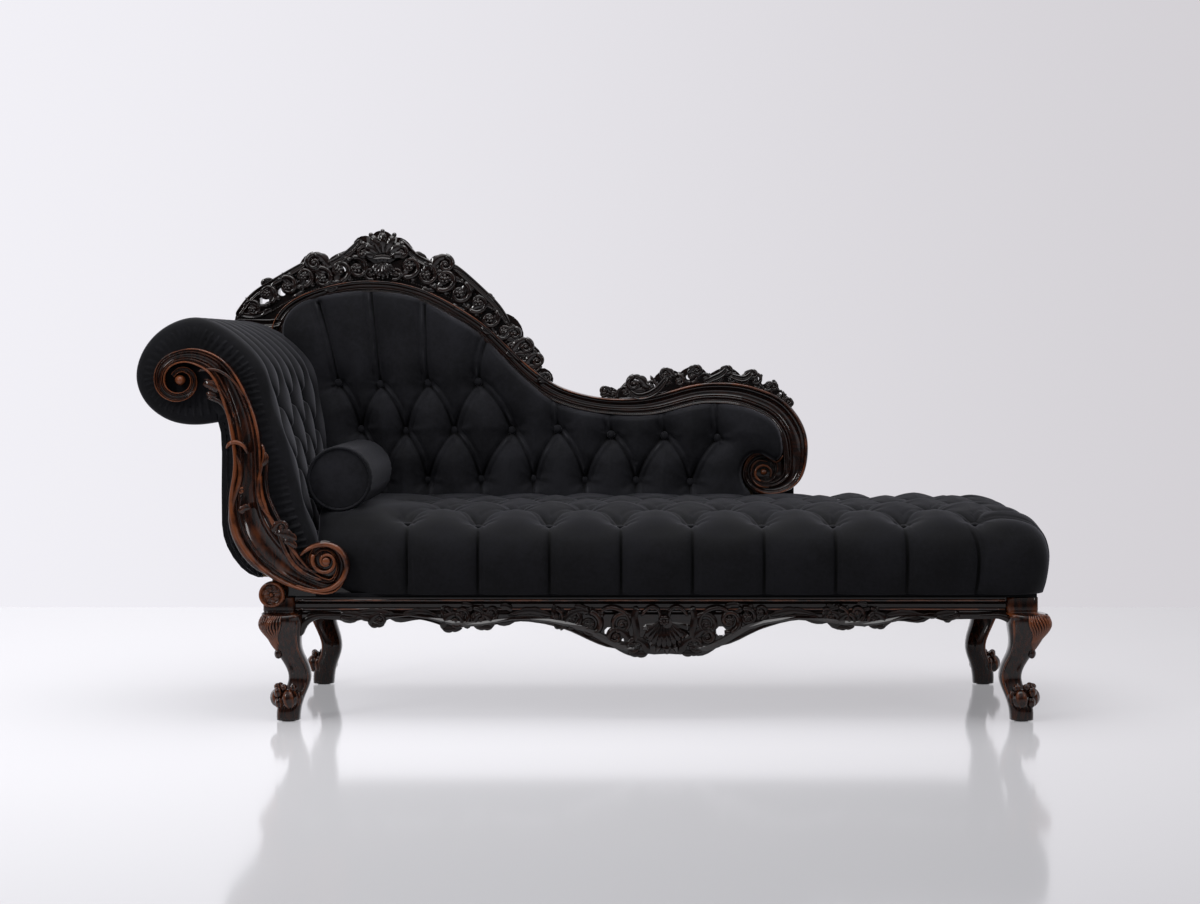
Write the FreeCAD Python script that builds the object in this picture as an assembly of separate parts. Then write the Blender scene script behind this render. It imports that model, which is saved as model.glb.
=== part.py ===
import FreeCAD, Part

import math
import os

# A tufted chaise longue with a scrolled arm, a serpentine carved back and cabriole legs.
# Millimetres. +X runs from the arm to the foot end, +Y to the back, +Z up.
# The origin is on the floor, at the middle of the length and of the depth.

# Overall sizes
frame_left_x = -690.0
frame_side_y = 300.0
rail_bottom_z = 223.0
show_top_z = 258.0
rail_top_z = 300.0
seat_top_z = 440.0
clear = 0.3
seat_end_overhang = 30.0
seat_side_overhang = 32.0
overrun = 20.0
flat_enough = 1e-7
rod_sides = 10
pierce_sides = 8
rib_sides = 6
button_sides = 8
boss_sides = 16
outline_parts = 2

# Seat rails
rail_thickness = 38.0
tack_step = 16.0
cover_bead = 7.0
tenon_length = 30.0
tenon_thickness = 12.0
tenon_height = 46.0

# Legs
leg_block = 68.0
leg_sweep_out = 52.0
foot_width = 48.0
knee_width = 92.0
glide_radius = 15.0
glide_height = 3.0
toe_radius = 21.0
toe_length = 40.0
boss_radius = 28.0
boss_depth = 16.0
knee_leaf_radius = 17.0
knee_leaf_length = 74.0
knee_leaf_lean = 0.35
foot_inset_head = 52.0
foot_inset_end = 33.5
foot_inset_side = 20.0
leg_chamfer_share = 0.42
leg_steps = 13

# Corner blocks, screws and dowels
corner_leg = 62.0
corner_height = 50.0
screw_radius = 2.5
screw_length = 60.0
screw_inside_share = 0.45
screw_head_radius = 5.0
screw_head_height = 3.0
dowel_radius = 5.0
dowel_length = 50.0

# Webbing, dust cover and foam
web_width = 50.0
web_thickness = 2.0
cross_web_count = 10
long_web_count = 4
web_inset = 10.0
dust_thickness = 1.2
foam_height = 62.0
foam_side_inset = 48.0

# Seat cushion
cushion_bottom_z = 266.0
cushion_corner_radius = 46.0
cushion_crown_reach = 70.0
corner_steps = 4
seat_tuck = 3.1
seat_past_back = 20.0
cushion_back_step = 58.0
seat_tuft_pitch = 148.0
seat_row_pitch = 110.0
seat_front_row_inset = 70.0
seat_first_tuft_reach = 188.0
tuft_radius = 44.0
tuft_depth = 22.0
crease_width = 13.0
crease_depth = 6.5
button_radius = 10.0
button_height = 7.0
pleat_width = 9.0
pleat_depth = 7.0

# Arm
arm_overhang = 265.3
arm_reach = 440.0
arm_rise = 578.0
arm_rear_step = 4.0
arm_pad_thickness = 38.0
arm_flare = 42.0
flute_count = 6
flute_depth = 8.0
arm_edge_round = 16.0
arm_notch_y = 224.0
arm_board_thickness = 24.0
board_fit = 0.9
facing_thickness = 12.0
arm_panel_thickness = 10.0
batten_radius = 12.0
arm_tuft_radius = 26.0
arm_tuft_depth = 15.0
# Buttons stand on these joins of the flutes, at these points of the arm line.
arm_tuft_joins = (1, 2, 3, 4)
arm_tuft_places_along = (4, 6)
arm_scroll_relief = 36.0
arm_scroll_base = 14.0

# Back
back_overhang = 150.0
back_length = 1320.0
back_rise = 606.0
rail_back_y = 300.0
rail_face_y = 245.0
rail_relief = 17.0
notch_reach = 67.0
stile_inset = 10.0
stile_width = 42.0
stile_head_share = 0.96
upright_front_y = 265.0
upright_width = 60.0
upright_count = 3
tack_rail_height = 40.0
back_panel_thickness = 6.0
pad_back_y = 262.0
pad_front_y = 196.0
pad_crown = 14.0
back_web_count = 7
back_tuft_radius = 40.0
back_tuft_depth = 21.0
back_tuft_pitch = 124.0
back_crease_share = 0.66
crest_front_y = 250.0
crest_back_y = 282.0
crest_relief = 13.0
volute_radius = 49.0
pierce_radius = 12.0

# Apron
apron_gap = 12.0
apron_lap = 1.5
apron_length = 1465.0
apron_drop = 83.0
apron_back_y = -281.0
apron_front_y = -302.0
apron_relief = 11.0
shell_radius = 62.0
shell_ribs = 9

# Bolster
bolster_radius = 67.0
bolster_length = 430.0
bolster_reach = 40.0
bolster_front_y = -236.0
bolster_edge_round = 10.0
piping_radius = 3.5
bolster_end_crown = 7.0
bolster_end_share = 0.55
bolster_seam_share = 0.3
bolster_flats = 24

# The carved rail of the back: middle of its band in shares of the back's length and rise,
# and its width in shares of the widest band.
rail_band = 60.0
back_rail_shares = [
    (0.075, 0.586, 0.50), (0.077, 0.640, 0.45), (0.098, 0.706, 0.45), (0.146, 0.758, 0.45),
    (0.200, 0.786, 0.45), (0.244, 0.791, 0.45), (0.290, 0.781, 0.45), (0.339, 0.747, 0.45),
    (0.388, 0.690, 0.46), (0.437, 0.615, 0.48), (0.487, 0.508, 0.52), (0.524, 0.436, 0.58),
    (0.560, 0.386, 0.62), (0.613, 0.349, 0.62), (0.668, 0.334, 0.64), (0.722, 0.338, 0.74),
    (0.763, 0.358, 0.78), (0.802, 0.380, 0.80), (0.840, 0.387, 0.84), (0.880, 0.380, 0.88),
    (0.910, 0.361, 0.92), (0.937, 0.334, 0.95), (0.958, 0.292, 0.97), (0.973, 0.234, 1.00),
    (0.978, 0.170, 0.98),
]
# The end volute of the back: places in shares of its radius from the eye.
back_eye_shares = (0.923, 0.086)
back_volute_shares = [
    (1.42, 0.10, 0.82), (1.18, -0.38, 0.66), (0.66, -0.70, 0.52), (0.00, -0.74, 0.42),
    (-0.56, -0.42, 0.37), (-0.70, 0.10, 0.34), (-0.38, 0.60, 0.31), (0.12, 0.66, 0.27),
    (0.50, 0.34, 0.24), (0.48, -0.12, 0.20), (0.16, -0.38, 0.17), (-0.20, -0.30, 0.14),
]
back_volute_eye_share = 0.34

# Crest outline, from the left along the top, in shares of the back's length and rise.
# Each list is one smooth lobe, and the next one starts where it ends.
crest_lobe_shares = [
    [(0.000, 0.662), (0.004, 0.690), (0.017, 0.728), (0.036, 0.774), (0.061, 0.809), (0.091, 0.847)],
    [(0.091, 0.847), (0.112, 0.872), (0.122, 0.905), (0.135, 0.912), (0.148, 0.900), (0.161, 0.885)],
    [(0.161, 0.885), (0.176, 0.912), (0.192, 0.926), (0.206, 0.944)],
    [(0.206, 0.944), (0.214, 0.975), (0.228, 0.984), (0.238, 0.976)],
    [(0.238, 0.976), (0.246, 0.998), (0.257, 1.003), (0.268, 0.996), (0.278, 0.974)],
    [(0.278, 0.974), (0.290, 0.976), (0.303, 0.958), (0.313, 0.923)],
    [(0.313, 0.923), (0.326, 0.898), (0.338, 0.885)],
    [(0.338, 0.885), (0.349, 0.906), (0.365, 0.912), (0.376, 0.896), (0.378, 0.873)],
    [(0.378, 0.873), (0.395, 0.843), (0.417, 0.806), (0.436, 0.767), (0.452, 0.729), (0.468, 0.690)],
    [(0.468, 0.690), (0.486, 0.676), (0.500, 0.640), (0.504, 0.587)],
    [(0.504, 0.587), (0.523, 0.566), (0.536, 0.528), (0.531, 0.480)],
    [(0.531, 0.480), (0.549, 0.470), (0.556, 0.440), (0.552, 0.418)],
]
crest_foot_shares = [
    (0.520, 0.430), (0.487, 0.500), (0.437, 0.607), (0.388, 0.682), (0.339, 0.739),
    (0.290, 0.773), (0.244, 0.783), (0.200, 0.778), (0.146, 0.750), (0.106, 0.706),
    (0.070, 0.662),
]
crest_hole_shares = [
    (0.052, 0.734, 0.9), (0.083, 0.770, 0.8), (0.119, 0.820, 0.9), (0.150, 0.832, 0.7),
    (0.186, 0.858, 0.9), (0.217, 0.888, 0.7), (0.297, 0.882, 0.7), (0.326, 0.840, 0.9),
    (0.362, 0.812, 0.8), (0.393, 0.770, 0.8), (0.425, 0.722, 0.8), (0.030, 0.690, 0.6),
]
crest_scroll_shares = [
    [(0.020, 0.690, 0.5), (0.040, 0.748, 0.6), (0.072, 0.796, 0.7), (0.104, 0.842, 0.6), (0.130, 0.888, 0.5)],
    [(0.168, 0.872, 0.5), (0.196, 0.902, 0.7), (0.222, 0.938, 0.7), (0.228, 0.962, 0.5)],
    [(0.348, 0.876, 0.5), (0.318, 0.888, 0.7), (0.300, 0.920, 0.7), (0.292, 0.950, 0.5)],
    [(0.368, 0.892, 0.5), (0.386, 0.836, 0.6), (0.416, 0.786, 0.7), (0.446, 0.726, 0.6), (0.472, 0.662, 0.5)],
    [(0.482, 0.650, 0.5), (0.490, 0.600, 0.7), (0.508, 0.540, 0.7), (0.530, 0.500, 0.5)],
]
crest_scroll_width = 26.0
crest_shell_shares = (0.257, 0.862)
crest_shell_radius = 76.0
crest_shell_ribs = 7
crest_tie_half = 46.0
crest_tie_height = 13.0

# Small cresting over the right hump, in the same shares.
small_crest_lobe_shares = [
    [(0.640, 0.372), (0.646, 0.402), (0.658, 0.408), (0.668, 0.388)],
    [(0.668, 0.388), (0.680, 0.424), (0.695, 0.438), (0.708, 0.424), (0.716, 0.402)],
    [(0.716, 0.402), (0.728, 0.432), (0.744, 0.470), (0.762, 0.474), (0.776, 0.462)],
    [(0.776, 0.462), (0.792, 0.484), (0.808, 0.488), (0.820, 0.472), (0.826, 0.452)],
    [(0.826, 0.452), (0.842, 0.474), (0.860, 0.484), (0.874, 0.472), (0.884, 0.450)],
    [(0.884, 0.450), (0.898, 0.470), (0.911, 0.462), (0.914, 0.436), (0.922, 0.418)],
    [(0.922, 0.418), (0.938, 0.426), (0.949, 0.408), (0.951, 0.382)],
    [(0.951, 0.382), (0.964, 0.374), (0.974, 0.352), (0.972, 0.330)],
]
small_crest_foot_shares = [
    (0.955, 0.318), (0.930, 0.352), (0.900, 0.378), (0.870, 0.388), (0.840, 0.392),
    (0.802, 0.385), (0.763, 0.362), (0.722, 0.343), (0.668, 0.338), (0.644, 0.341),
]
small_crest_hole_shares = [(0.735, 0.418, 0.5), (0.792, 0.446, 0.5), (0.846, 0.444, 0.5)]

# Arm: outer line of the pad at the front, from the seat up over the roll and under it,
# in shares of the arm's reach and rise. The last value is the share of the flare towards
# the back that the point takes.
arm_line_shares = [
    (0.860, 0.080, 0.00), (0.850, 0.190, 0.00), (0.812, 0.272, 0.00), (0.780, 0.346, 0.10),
    (0.750, 0.443, 0.18), (0.695, 0.581, 0.55), (0.641, 0.696, 0.90), (0.600, 0.813, 1.00),
    (0.541, 0.882, 1.00), (0.470, 0.933, 0.95), (0.386, 0.976, 0.70), (0.282, 1.000, 0.20),
    (0.159, 0.976, 0.00), (0.057, 0.908, 0.00), (0.005, 0.799, 0.00), (0.045, 0.709, 0.00),
    (0.148, 0.644, 0.00), (0.282, 0.626, 0.00), (0.392, 0.637, 0.00),
]
arm_outside_shares = [
    (0.392, 0.637), (0.412, 0.520), (0.412, 0.265), (0.437, 0.183), (0.503, 0.108), (0.583, 0.073),
]

# Carved scroll on the front of the arm: middle of the band, in shares of the arm's reach
# and rise, with its width in shares of the widest band.
scroll_band = 90.0
arm_scroll_shares = [
    (0.290, 0.866, 0.38), (0.388, 0.832, 0.46), (0.461, 0.750, 0.56), (0.512, 0.645, 0.64),
    (0.536, 0.548, 0.66), (0.541, 0.452, 0.68), (0.538, 0.368, 0.82), (0.556, 0.284, 0.96),
    (0.604, 0.209, 1.00), (0.680, 0.143, 0.92), (0.762, 0.092, 0.70), (0.846, 0.057, 0.48),
]
batten_shares = [(0.235, 0.800), (0.500, 0.620), (0.600, 0.200)]
upper_eye_shares = (0.224, 0.781)
lower_eye_shares = (0.899, 0.137)
scroll_radius = 50.0
upper_volute_shares = [
    (0.04, 0.98, 0.31), (-0.50, 0.76, 0.29), (-0.84, 0.24, 0.27), (-0.74, -0.38, 0.25),
    (-0.22, -0.70, 0.22), (0.36, -0.52, 0.19), (0.56, -0.04, 0.16), (0.36, 0.36, 0.14),
    (-0.04, 0.42, 0.12), (-0.32, 0.18, 0.10),
]
lower_volute_shares = [
    (0.30, -1.06, 0.34), (0.66, -0.68, 0.28), (0.72, -0.10, 0.24), (0.42, 0.42, 0.20),
    (-0.10, 0.54, 0.17), (-0.46, 0.22, 0.15), (-0.42, -0.22, 0.13), (-0.06, -0.40, 0.11),
]
scroll_eye_share = 0.34

# A moulding's cross profile: across its band and up its relief, in shares.
moulding_profile_shares = [
    (-1.00, 0.62), (-0.84, 1.00), (-0.52, 0.48), (0.00, 0.22), (0.52, 0.48), (0.84, 1.00), (1.00, 0.62),
]
ribbon_profile_shares = [(-0.72, 0.70), (0.00, 1.00), (0.72, 0.70)]

# Apron's lower edge, from the left, in shares of its length and drop.
apron_lobe_shares = [
    [(0.000, -0.10), (0.030, -0.11), (0.055, -0.14)],
    [(0.055, -0.14), (0.070, -0.22), (0.082, -0.14)],
    [(0.082, -0.14), (0.096, -0.18), (0.108, -0.32), (0.118, -0.20), (0.126, -0.11)],
    [(0.126, -0.11), (0.142, -0.20), (0.158, -0.15), (0.182, -0.15)],
    [(0.182, -0.15), (0.199, -0.28), (0.218, -0.39), (0.228, -0.26)],
    [(0.228, -0.26), (0.236, -0.36), (0.242, -0.26)],
    [(0.242, -0.26), (0.257, -0.40), (0.274, -0.21)],
    [(0.274, -0.21), (0.288, -0.29), (0.303, -0.19)],
    [(0.303, -0.19), (0.323, -0.18), (0.367, -0.33), (0.395, -0.53), (0.421, -0.74), (0.445, -0.85)],
    [(0.445, -0.85), (0.458, -0.98), (0.472, -1.04), (0.484, -0.92)],
    [(0.484, -0.92), (0.500, -1.00), (0.519, -0.98), (0.538, -1.00), (0.550, -0.92)],
    [(0.550, -0.92), (0.562, -1.04), (0.576, -0.98), (0.591, -0.80)],
    [(0.591, -0.80), (0.621, -0.63), (0.643, -0.43), (0.665, -0.29), (0.693, -0.16), (0.715, -0.15)],
    [(0.715, -0.15), (0.731, -0.24), (0.745, -0.21)],
    [(0.745, -0.21), (0.760, -0.38), (0.777, -0.34), (0.788, -0.21)],
    [(0.788, -0.21), (0.798, -0.31), (0.806, -0.21)],
    [(0.806, -0.21), (0.819, -0.35), (0.836, -0.20)],
    [(0.836, -0.20), (0.855, -0.17), (0.873, -0.21), (0.891, -0.10)],
    [(0.891, -0.10), (0.905, -0.09), (0.913, -0.20), (0.924, -0.12)],
    [(0.924, -0.12), (0.960, -0.11), (1.000, -0.10)],
]
apron_hole_shares = [(0.437, -0.44, 0.9), (0.459, -0.66, 0.6), (0.595, -0.42, 0.9), (0.573, -0.66, 0.6)]
apron_scroll_shares = [
    [(0.120, -0.06, 0.3), (0.180, -0.06, 0.4), (0.215, -0.20, 0.6), (0.255, -0.22, 0.6), (0.300, -0.10, 0.4),
     (0.350, -0.14, 0.5), (0.400, -0.34, 0.7), (0.432, -0.62, 0.8), (0.462, -0.84, 0.7), (0.480, -0.72, 0.5)],
    [(0.900, -0.05, 0.3), (0.850, -0.07, 0.4), (0.815, -0.20, 0.6), (0.770, -0.20, 0.6), (0.720, -0.08, 0.4),
     (0.680, -0.12, 0.5), (0.634, -0.30, 0.7), (0.606, -0.58, 0.8), (0.574, -0.84, 0.7), (0.556, -0.72, 0.5)],
]
apron_scroll_width = 22.0
shell_eye_shares = (0.5185, -0.20)

# Leg sections: height share of the rail's bottom, sweep share outwards, width share of the knee.
leg_section_shares = [
    (0.000, 0.00, 0.52), (0.100, 0.02, 0.54), (0.235, 0.20, 0.52), (0.400, 0.40, 0.51),
    (0.560, 0.20, 0.56), (0.650, 0.02, 0.62), (0.760, -0.20, 0.74), (0.900, -0.34, 0.90),
    (1.000, -0.38, 0.94),
]
toe_height_share = 0.22
knee_leaf_height_share = 0.86

# Buttons of the back: column in shares of the back's length, row in shares of its rise.
back_tuft_shares = [
    (0.183, 0.424), (0.256, 0.420), (0.338, 0.424), (0.426, 0.428),
    (0.222, 0.248), (0.300, 0.243), (0.384, 0.245), (0.485, 0.245), (0.564, 0.250), (0.657, 0.228),
    (0.750, 0.224), (0.842, 0.216),
    (0.258, 0.058), (0.338, 0.056), (0.431, 0.060), (0.522, 0.062), (0.611, 0.056), (0.700, 0.054),
    (0.794, 0.048),
]
back_rows = [(0, 4), (4, 12), (12, 19)]

# The arm pad's flutes: share of a flute over the depth, with the share of its depth there.
flute_shares = [(0.22, 0.20), (0.78, 0.20), (1.00, 1.00)]

# The seat cushion's side: share of its height, with the share of the crown's reach drawn in.
cushion_crown_shares = [
    (0.00, 0.16), (0.20, 0.04), (0.45, 0.00), (0.66, 0.05), (0.82, 0.20), (0.93, 0.52), (1.00, 1.30),
]

# The back pad: its edge against the carved rail, and how it is drawn in towards the front.
back_pad_edge_shares = [
    (0.186, 0.003), (0.182, 0.060), (0.176, 0.130), (0.168, 0.260), (0.161, 0.365), (0.150, 0.475),
    (0.130, 0.545), (0.106, 0.600), (0.112, 0.690), (0.161, 0.738), (0.214, 0.762), (0.268, 0.762),
    (0.317, 0.740),
    (0.367, 0.686), (0.428, 0.602), (0.482, 0.484), (0.522, 0.404), (0.560, 0.346), (0.613, 0.306),
    (0.668, 0.292), (0.722, 0.290), (0.763, 0.312), (0.806, 0.336), (0.850, 0.340), (0.889, 0.324),
    (0.922, 0.296), (0.938, 0.250), (0.944, 0.200), (0.926, 0.168), (0.893, 0.166), (0.874, 0.110),
    (0.880, 0.040), (0.884, 0.003),
]
back_pad_crown_shares = [(0.00, 0.0), (0.42, 0.0), (0.72, 0.4), (0.90, 1.0), (1.00, 1.9)]

# Turned profiles: share of the height or length, with the share of the radius.
boss_profile_shares = [
    (0.00, 1.00), (0.80, 1.00), (1.00, 0.88), (0.98, 0.74), (0.78, 0.62), (0.80, 0.46), (1.10, 0.34),
    (1.22, 0.12),
]
button_profile_shares = [(0.00, 1.00), (1.00, 0.60)]
shell_rib_shares = [(0.00, 0.33), (0.88, 1.00), (1.06, 0.33)]
knee_leaf_shares = [(0.00, 0.60), (0.23, 1.00), (1.00, 0.25)]

# Shell ribs spread from this share of a half turn over this share of it, the end ribs shorter.
shell_spread_shares = (0.08, 0.84)
shell_end_share = 0.72
shell_rib_fullness = 1.2

# The piping's section outside the seam: along and out, in shares of its radius.
piping_shares = [(0.00, 0.00), (0.50, 0.80), (1.50, 0.80), (2.00, 0.00)]

# Places that follow from the sizes above. The frame runs from the head's end as far as the apron needs,
# the arm and the back stand on its head end, and the seat fills what the arm leaves.
apron_left_x = frame_left_x + leg_block + apron_gap
frame_right_x = apron_left_x + apron_length - apron_lap + leg_block
left_foot_x = frame_left_x + foot_inset_head
right_foot_x = frame_right_x - foot_inset_end
foot_side_y = frame_side_y - foot_inset_side
seat_end_x = frame_right_x + seat_end_overhang
seat_side_y = frame_side_y + seat_side_overhang
arm_left_x = frame_left_x - arm_overhang
arm_front_y = -frame_side_y
arm_rear_y = frame_side_y - arm_rear_step
seat_left_x = arm_left_x + arm_line_shares[0][0] * arm_reach - seat_tuck
back_left_x = frame_left_x - back_overhang
notch_left_x = frame_left_x - notch_reach
stile_left_x = frame_left_x + stile_inset
seat_behind_x = back_left_x + back_length + seat_past_back
cushion_back_y = frame_side_y - cushion_back_step
seat_front_row_y = seat_front_row_inset - seat_side_y
seat_first_tuft_x = seat_left_x + seat_first_tuft_reach
bolster_x = seat_left_x + bolster_reach


def point(x, y, z):
    return FreeCAD.Vector(x, y, z)


def block(x0, x1, y0, y1, z0, z1):
    return Part.makeBox(x1 - x0, y1 - y0, z1 - z0, point(x0, y0, z0))


def flat_faces(corners):
    """The face of a quadrilateral, or its two triangles if it is twisted."""
    first, second, third, fourth = corners
    normal = (third - first).cross(fourth - second)
    if abs(normal.normalize().dot(second - first)) < flat_enough:
        return [Part.Face(Part.makePolygon(corners + [first]))]
    return [
        Part.Face(Part.makePolygon([first, second, third, first])),
        Part.Face(Part.makePolygon([first, third, fourth, first])),
    ]


def skin(sections):
    """A solid in flat faces over polygon sections of as many corners each."""
    faces = [Part.Face(Part.makePolygon(section + section[:1])) for section in (sections[0], sections[-1])]
    for here, there in zip(sections, sections[1:]):
        for index, corner in enumerate(here):
            before = index - 1
            faces += flat_faces([here[before], corner, there[index], there[before]])
    solid = Part.Solid(Part.Shell(faces))
    if solid.Volume < 0:
        solid.reverse()
    return solid


def ring(middle, along, radius, sides):
    """A regular polygon round a middle, square to the direction along."""
    across = along.cross(point(0, 0, 1)) if abs(along.z) < along.Length / 2 else along.cross(point(1, 0, 0))
    across.normalize()
    other = along.cross(across)
    other.normalize()
    corners = []
    for side in range(sides):
        angle = 2 * math.pi * (side + 0.5) / sides
        corners.append(middle + across * (math.cos(angle) * radius) + other * (math.sin(angle) * radius))
    return corners


def turned(start, along, stations, sides):
    """A turned piece with flats: stations are (distance along, radius) from the start."""
    way = FreeCAD.Vector(along)
    way.normalize()
    return skin([ring(start + way * reach, way, radius, sides) for reach, radius in stations])


def rod(start, end, radius, sides=rod_sides):
    along = end.sub(start)
    return turned(start, along, [(0, radius), (along.Length, radius)], sides)


def fuse_all(shapes):
    return shapes[0].multiFuse(shapes[1:]).removeSplitter() if len(shapes) > 1 else shapes[0]


def group(shapes):
    return Part.makeCompound(shapes)


def curve(points):
    """A smooth curve through points, with its parameter at each of them."""
    knots = [0.0]
    for here, there in zip(points, points[1:]):
        knots.append(knots[-1] + math.sqrt(here.distanceToPoint(there)))
    spline = Part.BSplineCurve()
    spline.interpolate(Points=points, Parameters=knots)
    return spline, knots


def stretches(knots, parts):
    """The knots, with each stretch between two of them cut into so many parts."""
    places = [knots[-1]]
    for start, end in zip(knots, knots[1:]):
        places += [start + (end - start) * part / parts for part in range(parts)]
    return sorted(places)


def sampled(points):
    """Points along the smooth line through the given ones, or the two ends of a straight one."""
    if len(points) == 2:
        return points
    line, knots = curve(points)
    return [line.value(place) for place in stretches(knots, outline_parts)]


def slab(spans, y0, y1):
    """A flat carving: the closed outline at y0, run back to y1."""
    corners = []
    for span in spans:
        corners += sampled([point(x, y0, z) for x, z in span])[:-1]
    face = Part.Face(Part.makePolygon(corners + corners[:1]))
    return face.extrude(point(0, y1 - y0, 0))


def back_xz(share_x, share_z):
    return (back_left_x + share_x * back_length, seat_top_z + share_z * back_rise)


def arm_xz(share_x, share_z):
    return (arm_left_x + share_x * arm_reach, show_top_z + share_z * arm_rise)


def apron_xz(share_x, share_z):
    return (apron_left_x + share_x * apron_length, rail_bottom_z + share_z * apron_drop)


def band_loft(stations, profile, face_y, back_y, relief):
    """A carved band along a line of (x, z, width): its profile stands forward of face_y."""
    line, knots = curve([point(x, 0, z) for x, z, width in stations])
    widths = Part.BSplineCurve()
    widths.interpolate(Points=[point(knot, 0, at[2]) for knot, at in zip(knots, stations)], Parameters=knots)
    sections = []
    for along in stretches(knots, outline_parts):
        place = line.value(along)
        heading = line.tangent(along)[0]
        side = point(-heading.z, 0, heading.x)
        half = abs(widths.value(along).z) / 2
        corners = [point(0, back_y, 0) + place + side * (-half)]
        for share_across, share_up in profile:
            lift = face_y - share_up * relief
            corners.append(point(0, lift, 0) + place + side * (share_across * half))
        corners.append(point(0, back_y, 0) + place + side * half)
        sections.append(corners)
    return skin(sections)


def rail_stations():
    stations = [back_xz(u, v) + (width * rail_band,) for u, v, width in back_rail_shares]
    eye_x, eye_z = back_xz(*back_eye_shares)
    for u, v, width in back_volute_shares:
        stations.append((eye_x + u * volute_radius, eye_z + v * volute_radius, width * rail_band))
    return stations


def make_back_top_rail():
    rail = band_loft(rail_stations(), moulding_profile_shares, rail_face_y, rail_back_y, rail_relief)
    eye_x, eye_z = back_xz(*back_eye_shares)
    front = point(eye_x, rail_face_y - rail_relief, eye_z)
    eye = rod(front, point(eye_x, rail_back_y, eye_z), back_volute_eye_share * volute_radius)
    return rail.fuse(eye)


def rail_underside(x):
    """Height of the middle of the back's rail at a given x."""
    line, knots = curve([point(x, 0, z) for x, z in [back_xz(u, v) for u, v, width in back_rail_shares]])
    crossing = line.toShape().common(block(x - clear, x + clear, -clear, clear, seat_top_z, arm_top()))
    return crossing.BoundBox.Center.z


def arm_top():
    return seat_top_z + 2 * back_rise


def make_crest(rail):
    lobes = [[back_xz(u, v) for u, v in lobe] for lobe in crest_lobe_shares]
    foot = [back_xz(u, v) for u, v in crest_foot_shares]
    spans = lobes + [[lobes[-1][-1], foot[0]], foot, [foot[-1], lobes[0][0]]]
    plate = slab(spans, crest_front_y, crest_back_y)
    holes = []
    for u, v, size in crest_hole_shares:
        x, z = back_xz(u, v)
        start = point(x, crest_front_y - overrun, z)
        holes.append(rod(start, point(x, crest_back_y + overrun, z), size * pierce_radius, pierce_sides))
    plate = plate.cut(holes)
    raised = []
    inside_y = crest_front_y + crest_relief
    for scroll in crest_scroll_shares:
        stations = [back_xz(u, v) + (width * crest_scroll_width,) for u, v, width in scroll]
        raised.append(band_loft(stations, ribbon_profile_shares, crest_front_y, inside_y, crest_relief))
    eye_x, eye_z = back_xz(*crest_shell_shares)
    raised += shell_fan(eye_x, eye_z, crest_shell_radius, crest_shell_ribs, crest_front_y, crest_relief, 1)
    raised.append(
        block(
            eye_x - crest_tie_half, eye_x + crest_tie_half, crest_front_y - crest_relief, inside_y,
            eye_z - crest_tie_height / 2, eye_z + crest_tie_height / 2,
        )
    )
    return fuse_all([plate] + raised).cut(rail)


def shell_fan(eye_x, eye_z, radius, ribs, face_y, relief, way):
    """Shell ribs spread over a half turn from an eye; way is +1 for upwards, -1 for downwards."""
    pieces = []
    first, spread = shell_spread_shares
    fullness = shell_rib_fullness * radius / ribs
    for rib in range(ribs):
        angle = math.pi * (first + spread * rib / (ribs - 1))
        length = radius * (shell_end_share + (1 - shell_end_share) * math.sin(angle))
        along = point(math.cos(angle), 0, way * math.sin(angle))
        stations = [(reach * length, share * fullness) for reach, share in shell_rib_shares]
        pieces.append(turned(point(eye_x, face_y, eye_z), along, stations, rib_sides))
    front = point(eye_x, face_y - relief, eye_z)
    return pieces + [rod(front, point(eye_x, face_y + relief, eye_z), relief)]


def make_small_crest(rail):
    lobes = [[back_xz(u, v) for u, v in lobe] for lobe in small_crest_lobe_shares]
    foot = [back_xz(u, v) for u, v in small_crest_foot_shares]
    spans = lobes + [[lobes[-1][-1], foot[0]], foot, [foot[-1], lobes[0][0]]]
    plate = slab(spans, crest_front_y, crest_back_y)
    holes = []
    for u, v, size in small_crest_hole_shares:
        x, z = back_xz(u, v)
        start = point(x, crest_front_y - overrun, z)
        holes.append(rod(start, point(x, crest_back_y + overrun, z), size * pierce_radius, pierce_sides))
    return plate.cut(holes).cut(rail)


def arm_outline(flare, inset):
    """Points of the arm pad's outer line, moved inwards by inset, at a flare of 0 to 1."""
    points = []
    for u, v, follows in arm_line_shares:
        x, z = arm_xz(u, v)
        points.append((x + flare * follows * arm_flare, z))
    moved = []
    for index, (x, z) in enumerate(points):
        ahead = points[min(index + 1, len(points) - 1)]
        behind = points[max(index - 1, 0)]
        run_x, run_z = ahead[0] - behind[0], ahead[1] - behind[1]
        size = math.hypot(run_x, run_z)
        moved.append((x - run_z / size * inset, z + run_x / size * inset))
    first = (moved[0][0], rail_top_z + 2 * web_thickness)
    return [first] + moved[1:]


def arm_section(y, inset):
    flare = (y - arm_front_y) / (arm_rear_y - arm_front_y)
    outer = [point(x, y, z) for x, z in arm_outline(flare, inset)]
    inner = [point(x, y, z) for x, z in arm_outline(flare, arm_pad_thickness)]
    return outer + inner[::-1]


def make_arm_pad():
    sections = [arm_section(arm_front_y, arm_edge_round)]
    length = (arm_rear_y - arm_front_y) / flute_count
    for flute in range(flute_count):
        start = arm_front_y + flute * length
        for share, depth in flute_shares:
            sections.append(arm_section(start + share * length, depth * flute_depth))
    return skin(sections).cut(back_notch())


def back_notch():
    return block(notch_left_x, seat_behind_x, arm_notch_y, arm_rear_y + overrun, rail_bottom_z, arm_top())


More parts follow.
